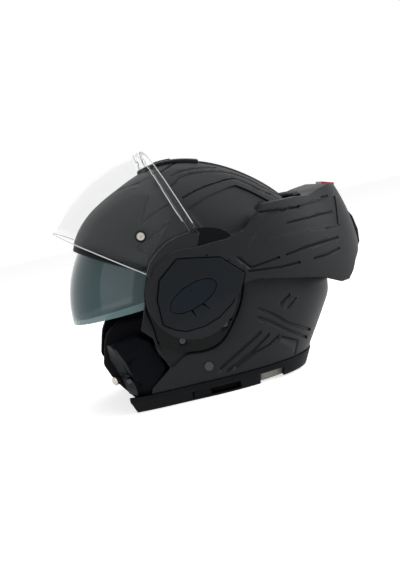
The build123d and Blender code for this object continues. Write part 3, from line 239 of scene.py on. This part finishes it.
@dataclass
class FrameDress:
    """Dresses every CAD node of the frame in the finish of its material slot."""

    finishes: dict[str, Finish] = field(default_factory=lambda: dict(FRAME_FINISHES))

    def build(self) -> None:
        """Give each node its material."""
        for obj in bpy.data.objects:
            if obj.type != "MESH" or not obj.data.materials:
                continue
            name = obj.data.materials[0].name.split(".")[0]
            if name in self.finishes:
                for index in range(len(obj.data.materials)):
                    obj.data.materials[index] = self.finishes[name].build()
                log.info("dressed %s as %s", obj.name, name)


def body_named(node: str) -> str:
    """Rigid body that carries a CAD node.

    Args:
        node: the node's name.

    Returns:
        The body's name.
    """
    bodies = frame["record"]["behaviour"]["bodies"]
    return next(body for body, nodes in bodies.items() if node in nodes)


def merged(node: str) -> bmesh.types.BMesh:
    """Copy of a CAD node's mesh with its loose triangles merged.

    Args:
        node: the node's name.

    Returns:
        A bmesh in the row frame, in metres.
    """
    source = frame["nodes"][node]
    bm = bmesh.new()
    bm.from_mesh(source.data)
    bm.transform(source.matrix_world)
    bmesh.ops.remove_doubles(bm, verts=bm.verts, dist=WELD * MM)
    bmesh.ops.dissolve_degenerate(bm, dist=SLIVER * MM, edges=bm.edges)
    return bm


def finished(name: str, bm: bmesh.types.BMesh, finishes: list[Finish], node: str, crease: float = 38.0
             ) -> bpy.types.Object:
    """Turn a bmesh into a finished piece that rides its body and stands for its CAD node.

    Args:
        name: the piece's name.
        bm: its shape, freed here.
        finishes: finishes by material index.
        node: CAD node that it replaces.
        crease: edges sharper than this many degrees stay sharp.

    Returns:
        The new object.
    """
    for face in bm.faces:
        face.smooth = True
    mesh = bpy.data.meshes.new(name)
    bm.to_mesh(mesh)
    bm.free()
    for finish in finishes:
        mesh.materials.append(finish.build())
    mesh.set_sharp_from_angle(angle=math.radians(crease))
    obj = bpy.data.objects.new(name, mesh)
    bpy.context.collection.objects.link(obj)
    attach(obj, body_named(node))
    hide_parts(node)
    log.info("built %s with %d faces", name, len(mesh.polygons))
    return obj


Line = list[tuple[float, float, float]]


@dataclass
class Carving:
    """Lines carved into a moulding, drawn in the worn attitude on the wearer's left and mirrored.

    Attributes:
        lines: each line's points in millimetres, across, back and up.
        radius: radius of the cutter in millimetres.
        sink: how far the cutter's centre lies under the surface, negative above it.
    """

    lines: list[Line]
    radius: float = 1.0
    sink: float = 0.0

    def cutters(self, surface: BVHTree) -> bpy.types.Object:
        """Tubes that follow the lines on a surface.

        Args:
            surface: the moulding's surface.

        Returns:
            One object with every tube, on both sides.
        """
        curve = bpy.data.curves.new("cutters", "CURVE")
        curve.dimensions = "3D"
        curve.bevel_depth = self.radius * MM
        curve.bevel_resolution = 1
        curve.use_fill_caps = True
        for line in self.lines:
            for mirror in (1, -1):
                spline = curve.splines.new("POLY")
                points = self.settled([(x * mirror, back, up) for x, back, up in line], surface)
                spline.points.add(len(points) - 1)
                for point, spot in zip(spline.points, points):
                    point.co = (*spot, 1.0)
        rough = bpy.data.objects.new("cutters", curve)
        bpy.context.collection.objects.link(rough)
        view = bpy.context.evaluated_depsgraph_get()
        mesh = bpy.data.meshes.new_from_object(rough.evaluated_get(view))
        bpy.data.objects.remove(rough)
        tool = bpy.data.objects.new("cutters", mesh)
        bpy.context.collection.objects.link(tool)
        return tool

    def settled(self, line: Line, surface: BVHTree) -> list[Vector]:
        """Points every few millimetres along a line, dropped onto the surface.

        Args:
            line: the line's points in the worn attitude.
            surface: the moulding's surface.

        Returns:
            Points in the row frame, in metres.
        """
        spots = []
        for start, end in zip(line, line[1:]):
            count = max(2, int((Vector(end) - Vector(start)).length / LINE_STEP))
            spots += [Vector(start).lerp(Vector(end), step / count) for step in range(count)]
        spots.append(Vector(line[-1]))
        settled = []
        for spot in spots:
            place, normal, _, _ = surface.find_nearest(WORN @ spot)
            settled.append(place - normal * self.sink * MM)
        return settled


def carve(bm: bmesh.types.BMesh, carvings: tuple[Carving, ...]) -> bmesh.types.BMesh:
    """Cut every line into a closed mesh in one go.

    Args:
        bm: the moulding's mesh, freed here.
        carvings: the lines.

    Returns:
        The carved mesh.
    """
    surface = BVHTree.FromBMesh(bm)
    rough = bpy.data.meshes.new("uncarved")
    bm.to_mesh(rough)
    bm.free()
    body = bpy.data.objects.new("uncarved", rough)
    bpy.context.collection.objects.link(body)
    tubes = bmesh.new()
    for carving in carvings:
        part = carving.cutters(surface)
        tubes.from_mesh(part.data)
        bpy.data.objects.remove(part)
    tool_mesh = bpy.data.meshes.new("cutters")
    tubes.to_mesh(tool_mesh)
    tubes.free()
    tool = bpy.data.objects.new("cutters", tool_mesh)
    bpy.context.collection.objects.link(tool)
    cut = body.modifiers.new("carve", "BOOLEAN")
    cut.operation = "DIFFERENCE"
    cut.solver = "EXACT"
    cut.use_self = True
    cut.object = tool
    view = bpy.context.evaluated_depsgraph_get()
    carved = bpy.data.meshes.new_from_object(body.evaluated_get(view))
    bm = bmesh.new()
    bm.from_mesh(carved)
    for obj in (body, tool):
        bpy.data.objects.remove(obj)
    bpy.data.meshes.remove(carved)
    return bm


@dataclass
class Beads(Carving):
    """Fine raised lines on a piece, such as edges whose highlight is painted on in a pale finish."""

    def build(self, name: str, node: str, finish: Finish) -> bpy.types.Object:
        """Lay the lines on a piece and dress them.

        Args:
            name: the new piece's name.
            node: CAD node that carries them.
            finish: their finish.

        Returns:
            The finished object.
        """
        bm = merged(node)
        surface = BVHTree.FromBMesh(bm)
        bm.free()
        tubes = self.cutters(surface)
        bm = bmesh.new()
        bm.from_mesh(tubes.data)
        bpy.data.objects.remove(tubes)
        for face in bm.faces:
            face.smooth = True
        mesh = bpy.data.meshes.new(name)
        bm.to_mesh(mesh)
        bm.free()
        mesh.materials.append(finish.build())
        obj = bpy.data.objects.new(name, mesh)
        bpy.context.collection.objects.link(obj)
        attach(obj, body_named(node))
        log.info("built %s", name)
        return obj


@dataclass
class Moulding:
    """A hard moulding finished over its solid, with rounded edges.

    Attributes:
        node: CAD node that it finishes.
        finish: finish of its broad faces.
        edge: radius of its edges in millimetres.
        rim: finish of the rounded edges, where it differs.
        fold: edges sharper than this many degrees are rounded.
        carvings: lines carved into it.
    """

    node: str
    finish: Finish
    edge: float = 0.6
    rim: Finish | None = None
    fold: float = 28.0
    carvings: tuple[Carving, ...] = ()

    def build(self) -> bpy.types.Object:
        """Round the edges, carve and dress the piece.

        Returns:
            The finished object.
        """
        bm = merged(self.node)
        for face in bm.faces:
            face.material_index = 0
        sharp = [edge for edge in bm.edges
                 if len(edge.link_faces) == 2 and edge.calc_face_angle(0.0) > math.radians(self.fold)]
        if self.edge:
            bmesh.ops.bevel(bm, geom=sharp, offset=self.edge * MM, affect="EDGES", segments=2, profile=0.5,
                            material=1 if self.rim else -1, clamp_overlap=False, loop_slide=True)
        if self.carvings:
            bm = carve(bm, self.carvings)
        finishes = [self.finish] + ([self.rim] if self.rim else [])
        return finished(self.node + "_moulding", bm, finishes, self.node)


@dataclass(frozen=True)
class Band:
    """Part of a sheet on the left of a line in the side view, seen along its direction.

    Attributes:
        start: a point on the line in the worn attitude, back and up.
        end: another point on it.
        finish: the band's finish.
        inside: least and greatest distance from the side plane, millimetres.
    """

    start: tuple[float, float]
    end: tuple[float, float]
    finish: Finish
    inside: tuple[float, float] = (0.0, 300.0)

    def across(self) -> Vector:
        """Direction from the line into the band, in the worn attitude."""
        run = Vector((self.end[0] - self.start[0], self.end[1] - self.start[1])).normalized()
        return Vector((0.0, -run.y, run.x))

    def split(self, bm: bmesh.types.BMesh) -> None:
        """Cut the sheet's faces along the line.

        Args:
            bm: the sheet's mesh.
        """
        spot = WORN @ Vector((0.0, *self.start))
        out = (WORN.to_3x3() @ self.across()).normalized()
        geometry = bm.verts[:] + bm.edges[:] + bm.faces[:]
        bmesh.ops.bisect_plane(bm, geom=geometry, dist=SLIVER * MM, plane_co=spot, plane_no=out)

    def holds(self, spot: Vector) -> bool:
        """Whether a point of the sheet lies in the band.

        Args:
            spot: the point in the worn attitude.
        """
        return (spot - Vector((0.0, *self.start))).dot(self.across()) > 0 and \
            self.inside[0] <= abs(spot.x) <= self.inside[1]


@dataclass
class SweptSheet:
    """A curved sheet swept about the pivot, whose cut edge has a finish of its own.

    Attributes:
        node: CAD node that it finishes.
        radius: radius of the swept surface in millimetres.
        half_width: half width of the swept surface.
        centre: centre of the sweep in the worn attitude, back and up.
        sheet: finish of the clear faces.
        cut: finish of the cut edge.
        bands: strips of the sheet under or over a line in the side view, with their finishes.
        roundness: exponent of the sweep's section.
    """

    node: str
    radius: float
    half_width: float
    centre: tuple[float, float]
    sheet: Finish
    cut: Finish
    bands: tuple["Band", ...] = ()
    roundness: float = 2.6

    def build(self) -> bpy.types.Object:
        """Sort the faces into sheet and cut edge.

        Returns:
            The finished object.
        """
        bm = merged(self.node)
        for band in self.bands:
            band.split(bm)
        back = WORN.inverted()
        turn = back.to_3x3()
        power = self.roundness - 1
        for face in bm.faces:
            spot = back @ face.calc_center_median()
            arm = Vector((spot.y - self.centre[0], spot.z - self.centre[1]))
            reach = max(arm.length, 1.0)
            out = Vector((math.copysign((abs(spot.x) / self.half_width) ** power / self.half_width, spot.x),
                          *(arm.normalized() * (reach / self.radius) ** power / self.radius))).normalized()
            face.material_index = int(abs((turn @ face.normal).normalized().dot(out)) < SHEET_FACING)
            for index, band in enumerate(self.bands):
                if face.material_index == 0 and band.holds(spot):
                    face.material_index = index + 2
        finishes = [self.sheet, self.cut] + [band.finish for band in self.bands]
        return finished(self.node + "_sheet", bm, finishes, self.node)


@dataclass
class Cushion:
    """A stuffed piece rounded over its solid, with drawn-in edges.

    Attributes:
        node: CAD node that it stands for.
        finish: its cloth or hide.
        voxel: size of the mesh in millimetres.
        rounds: how often the shape is eased.
        fill: how full it is stuffed; not used.
    """

    node: str
    finish: Finish
    voxel: float = 3.0
    rounds: int = 8
    fill: float = 0.7

    def build(self) -> bpy.types.Object:
        """Remesh, ease and dress the cushion.

        Returns:
            The finished object.
        """
        bm = merged(self.node)
        rough = bpy.data.meshes.new(self.node + "_rough")
        bm.to_mesh(rough)
        bm.free()
        shape = bpy.data.objects.new(self.node + "_rough", rough)
        bpy.context.collection.objects.link(shape)
        voxels = shape.modifiers.new("voxels", "REMESH")
        voxels.mode = "VOXEL"
        voxels.voxel_size = self.voxel * MM
        view = bpy.context.evaluated_depsgraph_get()
        even = bpy.data.meshes.new_from_object(shape.evaluated_get(view))
        bm = bmesh.new()
        bm.from_mesh(even)
        bpy.data.objects.remove(shape)
        bpy.data.meshes.remove(rough)
        bpy.data.meshes.remove(even)
        for _ in range(self.rounds):
            bmesh.ops.smooth_vert(bm, verts=bm.verts, factor=0.5, use_axis_x=True, use_axis_y=True,
                                  use_axis_z=True)
        obj = finished(self.node + "_cushion", bm, [self.finish], self.node, 180.0)
        return obj


# Styling lines of the shell, from the crown down to the rim
CROWN_GROOVES: list[Line] = [
    [(77, -19, 106), (67, -8, 116), (62, 2, 120), (54, 23, 123), (47, 39, 123), (42, 51, 122), (40, 69, 115),
     (41, 85, 107), (34, 104, 97)],
    [(62, -16, 118), (56, -7, 122), (51, 5, 125), (46, 18, 127), (36, 35, 128)],
    [(50, -27, 121), (40, -17, 127), (21, -7, 133)],
]
CROWN_CREASES: list[Line] = [
    [(90, -6, 95), (83, 10, 104), (71, 31, 111), (57, 49, 116), (54, 56, 115), (55, 79, 104), (47, 101, 94)],
]
BROW_CREASES: list[Line] = [
    [(76, -40, 98), (94, -49, 69), (92, -20, 89)],
    [(103, -54, 44), (102, -21, 70)],
    [(1, -110, 61), (18, -93, 84), (22, -72, 101), (50, -49, 111), (44, -26, 124)],
    [(0, -117, 48), (79, -92, 41), (93, -71, 47), (104, -52, 42), (109, -38, 38)],
]
REAR_CREASES: list[Line] = [
    [(88, 115, 11), (107, 94, -13)], [(82, 123, 10), (103, 102, -18)],
    [(102, 96, -47), (87, 117, -53), (86, 116, -59), (87, 114, -69)],
    [(109, 45, -76), (109, 64, -63), (107, 82, -55), (103, 94, -45)],
]
CHIN_CREASES: list[Line] = [
    [(118, 68, 81), (109, 101, 85), (77, 148, 98)],
    [(126, 45, 37), (126, 60, 26), (110, 123, 47), (88, 157, 55)],
    [(126, 56, 22), (121, 91, 26), (102, 141, 37), (90, 158, 44)],
]
CHIN_SLITS: list[Line] = [
    [(114, 98, 70), (103, 124, 76), (81, 153, 82)], [(96, 142, 64), (80, 160, 68)],
]


@dataclass
class Shells:
    """Outer shell, its edge strip, rims and cheek fronts."""

    edge: float = 0.9

    def build(self) -> None:
        """Finish the hard outer mouldings."""
        carvings = (Carving(CROWN_GROOVES, 2.2, 0.4), Carving(CROWN_CREASES, 1.2, 0.4),
                    Carving(BROW_CREASES, 0.9, 0.3), Carving(REAR_CREASES, 1.0, 0.2))
        Moulding("outer_shell", MATT_LACQUER, self.edge, carvings=carvings).build()
        Moulding("brow_gasket", EDGE_RUBBER, 0.6).build()
        Moulding("rim_trim", EDGE_RUBBER, 0.6).build()
        for side in ("left", "right"):
            Moulding("rim_cover_" + side, TEXTURED_NYLON, 0.8).build()
            Moulding("cheek_front_" + side, CHEEK_ABS, 1.2).build()
            Moulding("base_plate_" + side, GLOSS_ABS, 0.4).build()


@dataclass
class ChinBar:
    """Raised chin bar with its inner cover, pods and ovals."""

    edge: float = 0.8

    def build(self) -> None:
        """Finish the chin bar's mouldings."""
        carvings = (Carving(CHIN_CREASES, 1.4, 0.0), Carving(CHIN_SLITS, 1.0, -0.1))
        Moulding("chin_bar", MATT_LACQUER, self.edge, carvings=carvings).build()
        Moulding("chin_cover", TEXTURED_NYLON, 0.5).build()
        Moulding("chin_vent", TEXTURED_NYLON, 0.5).build()
        for side in ("left", "right"):
            Moulding("pod_cover_" + side, SATIN_ABS, 0.3).build()
            Moulding("oval_inset_" + side, OVAL_ABS, 0.4).build()


# Lines of the visor, its lower lip and the rib along its upper edge, laid as pale beads that paint their
# highlights
LIP_LINES: list[Line] = [
    [(0, -146, 54), (60, -128, 46), (90, -92, 32), (104, -60, 19), (110, -36, 9)],
    [(60, -126, 48), (90, -91, 35), (104, -60, 23), (109, -40, 14)],
]
RIB_LINES: list[Line] = [
    [(0, -46, 149), (60, -39, 138), (90, -24, 114), (104, -10, 90), (111, 2, 70)],
    [(0, -54, 146), (60, -45, 135), (90, -31, 111), (104, -17, 87), (110, -8, 72)],
]


@dataclass
class Visors:
    """Clear visor with its insert and arms, and the smoke sun visor."""

    radius: float = 150.0
    half_width: float = 118.0
    sun_radius: float = 125.0
    sun_half_width: float = 101.0
    sun_centre: tuple[float, float] = (4.0, -10.0)

    def build(self) -> None:
        """Finish the visors."""
        # The lower lip band is a pale grey that paints the lip's reflections
        bands = (Band((-32.0, 7.5), (-150.0, 55.5), LOWER_LIP),)
        # The visor's cut edge takes a pale painted highlight
        SweptSheet("visor", self.radius, self.half_width, (0.0, 0.0), CLEAR_SHEET, PAINTED_EDGE_HIGHLIGHT, bands).build()
        # Pale beads along the lip and the rib: painted highlights
        Beads(LIP_LINES, 0.45).build("visor_lip_lines", "visor", PAINTED_EDGE_HIGHLIGHT)
        Beads(RIB_LINES, 0.5).build("visor_rib_lines", "visor", PAINTED_EDGE_HIGHLIGHT)
        SweptSheet("visor_insert", self.radius, self.half_width, (0.0, 0.0), FOG_SHEET, SEAL_BEAD).build()
        bands = (Band((-30.0, -5.0), (-150.0, -47.0), PALE_SMOKE),)
        SweptSheet("sun_visor", self.sun_radius, self.sun_half_width, self.sun_centre, SMOKE_SHEET,
                   SMOKE_SHEET, bands).build()
        PinRings().build()
        for side in ("left", "right"):
            Moulding("insert_pin_" + side, PLATED_STEEL, 0.4).build()
            Moulding("visor_arm_" + side, ARM_ABS, 0.4).build()


@dataclass
class PinRings:
    """Dark rings round the heads of the insert's pins.

    Attributes:
        spot: the pin's place in the worn attitude, back and up.
        across: distance of the ring from the middle plane.
        radius: radius of the ring.
        thickness: radius of its section.
    """

    spot: tuple[float, float] = (-50.0, 57.0)
    across: float = 111.0
    radius: float = 5.2
    thickness: float = 0.8

    def build(self) -> bpy.types.Object:
        """Spin both rings.

        Returns:
            The finished object.
        """
        bm = bmesh.new()
        for side in (1, -1):
            middle = Vector((side * self.across, *self.spot))
            section = bmesh.ops.create_circle(bm, cap_ends=False, segments=8, radius=self.thickness,
                                              matrix=Matrix.Translation(middle + Vector((0, self.radius, 0))))
            edges = list({edge for vert in section["verts"] for edge in vert.link_edges})
            bmesh.ops.spin(bm, geom=section["verts"] + edges, cent=middle, axis=(1, 0, 0), angle=math.tau,
                           steps=32, use_merge=True)
        bmesh.ops.remove_doubles(bm, verts=bm.verts, dist=0.001)
        bmesh.ops.recalc_face_normals(bm, faces=bm.faces)
        bm.transform(WORN)
        mesh = bpy.data.meshes.new("pin_rings")
        for face in bm.faces:
            face.smooth = True
        bm.to_mesh(mesh)
        bm.free()
        mesh.materials.append(GLOSS_ABS.build())
        obj = bpy.data.objects.new("pin_rings", mesh)
        bpy.context.collection.objects.link(obj)
        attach(obj, Body.VISOR.value)
        return obj


@dataclass
class Vents:
    """Crown vent and its slider."""

    edge: float = 0.7

    def build(self) -> None:
        """Finish the crown vent."""
        Moulding("top_vent", MATT_LACQUER, self.edge).build()
        Moulding("top_vent_slider", GLOSS_ABS, 0.3).build()


@dataclass
class Lining:
    """Comfort liner, cheek pads and neck roll."""

    voxel: float = 3.0

    def build(self) -> None:
        """Make the cushions."""
        Cushion("comfort_liner", KNIT, self.voxel).build()
        Cushion("neck_roll", NECK_HIDE, 1.5, 6).build()
        for side in ("left", "right"):
            Cushion("cheek_pad_" + side, KNIT, 2.5).build()


@dataclass
class ChinStrap:
    """Two open halves of the chin strap, in flat woven webbing.

    Attributes:
        line: middle of the left half as the helmet stands, across and up, millimetres.
        back: place of the strap's middle as the helmet stands.
        width: width of the webbing.
        thickness: its thickness.
        rounds: how often the bends are eased.
        selvedge: radius of the woven edges.
    """

    line: tuple[tuple[float, float], ...] = (
        (102.9, 32.4), (100, 31.9), (88, 27.9), (60, 18.9), (40, 12.9), (34.5, 13.9), (32, 20.9))
    back: float = -36.7
    width: float = 20.0
    thickness: float = 2.2
    rounds: int = 2
    selvedge: float = 0.4

    def eased(self) -> list[Vector]:
        """Middle line with its corners cut.

        Returns:
            Points across and up, in millimetres.
        """
        spots = [Vector(spot) for spot in self.line]
        for _ in range(self.rounds):
            cut = [spots[0]]
            for start, end in zip(spots, spots[1:]):
                cut += [start.lerp(end, 0.25), start.lerp(end, 0.75)]
            spots = cut + [spots[-1]]
        return spots

    def build(self) -> None:
        """Weave both halves."""
        for mirror, node in ((1, "strap_left"), (-1, "strap_right")):
            bm = bmesh.new()
            rows = [[bm.verts.new(Vector((spot.x * mirror, self.back + share * self.width / 2, spot.y)) * MM)
                     for share in (-1.0, -0.5, 0.0, 0.5, 1.0)] for spot in self.eased()]
            for row, after in zip(rows, rows[1:]):
                for index in range(len(row) - 1):
                    bm.faces.new((row[index], row[index + 1], after[index + 1], after[index]))
            bmesh.ops.recalc_face_normals(bm, faces=bm.faces)
            obj = finished(node + "_webbing", bm, [WEBBING], node, 60.0)
            depth = obj.modifiers.new("thickness", "SOLIDIFY")
            depth.thickness = self.thickness * MM
            depth.offset = 0.0
            selvedge = obj.modifiers.new("selvedge", "BEVEL")
            selvedge.width = self.selvedge * MM
            selvedge.segments = 2


@dataclass
class ChinCurtain:
    """Fabric curtain stretched under the chin."""

    node: str = "chin_curtain"

    def build(self) -> None:
        """Dress the curtain."""
        bm = merged(self.node)
        area = sum(face.calc_area() for face in bm.faces) / 2
        obj = finished(self.node + "_cloth", bm, [WEBBING], self.node, 50.0)


@dataclass
class Studio:
    """Pale floor, even studio light and the camera at the photograph's angle.

    Attributes:
        yaw: camera direction off the wearer's left side, towards the face, degrees.
        rise: camera height above the worn level, degrees.
        distance: distance to the helmet's middle, millimetres.
        lens: focal length for a 36 mm wide long side.
        aim: point looked at in the worn attitude, millimetres.
        paper: colour of the backdrop.
        floor_glow: light that the floor gives off, which keeps it white.
        floor_half: half the floor's side, metres.
        soft_light: strength of the surround for all but camera, mirror and glass rays.
    """

    yaw: float = 6.0
    rise: float = 4.0
    distance: float = 1400.0
    lens: float = 80.4
    aim: tuple[float, float, float] = (0.0, 21.5, -0.1)
    paper: str = "ffffff"
    floor_glow: float = 0.62
    floor_half: float = 4.0
    soft_light: float = 0.33

    def build(self) -> None:
        """Make floor, lights, world and camera."""
        self.floor()
        self.world()
        self.lights()
        self.camera()
        bpy.context.scene.view_settings.view_transform = "Standard"
        log.info("studio ready")

    def floor(self) -> None:
        """Lay a pale floor under the helmet that stays white in the picture."""
        mesh = bpy.data.meshes.new("floor")
        bm = bmesh.new()
        bmesh.ops.create_grid(bm, x_segments=1, y_segments=1, size=self.floor_half)
        bm.to_mesh(mesh)
        bm.free()
        material = bpy.data.materials.new("white_studio_paper")
        material.use_nodes = True
        tree = material.node_tree
        shader = tree.nodes["Principled BSDF"]
        shader.inputs["Base Color"].default_value = linear("f4f4f4")
        shader.inputs["Emission Color"].default_value = linear("ffffff")
        shader.inputs["Emission Strength"].default_value = self.floor_glow
        shader.inputs["Roughness"].default_value = 0.9
        shader.inputs["Specular IOR Level"].default_value = 0.1
        mesh.materials.append(material)
        floor = bpy.data.objects.new("floor", mesh)
        bpy.context.collection.objects.link(floor)

    def world(self) -> None:
        """White surround for camera, mirror and glass rays, plain soft light for the rest."""
        world = bpy.data.worlds.new("studio")
        bpy.context.scene.world = world
        world.use_nodes = True
        tree = world.node_tree
        path = put(tree, "LightPath")
        seen = put(tree, "Math", {0: path.outputs["Is Camera Ray"], 1: path.outputs["Is Transmission Ray"]},
                   operation="MAXIMUM")
        seen_all = put(tree, "Math", {0: seen.outputs[0], 1: path.outputs["Is Glossy Ray"]},
                       operation="MAXIMUM")
        background = tree.nodes["Background"]
        strength = put(tree, "MapRange", {"Value": seen_all.outputs[0]})
        strength.inputs["To Min"].default_value = self.soft_light
        strength.inputs["To Max"].default_value = 1.0
        tree.links.new(strength.outputs["Result"], background.inputs["Strength"])
        background.inputs["Color"].default_value = linear(self.paper)

    def lights(self) -> None:
        """Large soft lights above and behind, and a weak fill in front."""
        for name, spot, size, power in (
                ("overhead", (0.1, 0.3, 1.5), 1.4, 13.5), ("rear", (0.5, 1.3, 0.7), 1.0, 23.0),
                ("front_fill", (0.9, -1.1, 0.7), 1.2, 5.0)):
            lamp = bpy.data.lights.new(name, "AREA")
            lamp.size = size
            lamp.energy = power
            obj = bpy.data.objects.new(name, lamp)
            obj.location = spot
            obj.rotation_euler = (Vector((0, 0, 0.12)) - Vector(spot)).to_track_quat("-Z", "Y").to_euler()
            bpy.context.collection.objects.link(obj)

    def camera(self) -> None:
        """Set the camera at the photograph's angle, level with the worn attitude."""
        yaw, rise = math.radians(self.yaw), math.radians(self.rise)
        back = Vector((math.cos(rise) * math.cos(yaw), -math.cos(rise) * math.sin(yaw), math.sin(rise)))
        right = Vector((math.sin(yaw), math.cos(yaw), 0))
        up = back.cross(right)
        if up.z < 0:
            up = -up
        lean = Matrix.Rotation(-TILT, 3, "X")
        back, right, up = lean @ back, lean @ right, lean @ up
        data = bpy.data.cameras.new("camera")
        data.lens = self.lens
        data.sensor_fit = "AUTO"
        camera = bpy.data.objects.new("camera", data)
        spot = WORN @ Vector(self.aim) + back * self.distance * MM
        turn = Matrix((right, up, back)).transposed().to_4x4()
        camera.matrix_world = Matrix.Translation(spot) @ turn
        bpy.context.collection.objects.link(camera)
        bpy.context.scene.camera = camera


def main() -> None:
    """Build every part of the picture in order."""
    logging.basicConfig(level=logging.INFO, format="%(message)s")
    FrameDress().build()
    Shells().build()
    ChinBar().build()
    Visors().build()
    Vents().build()
    Lining().build()
    ChinStrap().build()
    ChinCurtain().build()
    Studio().build()


if __name__ == "__main__":
    main()
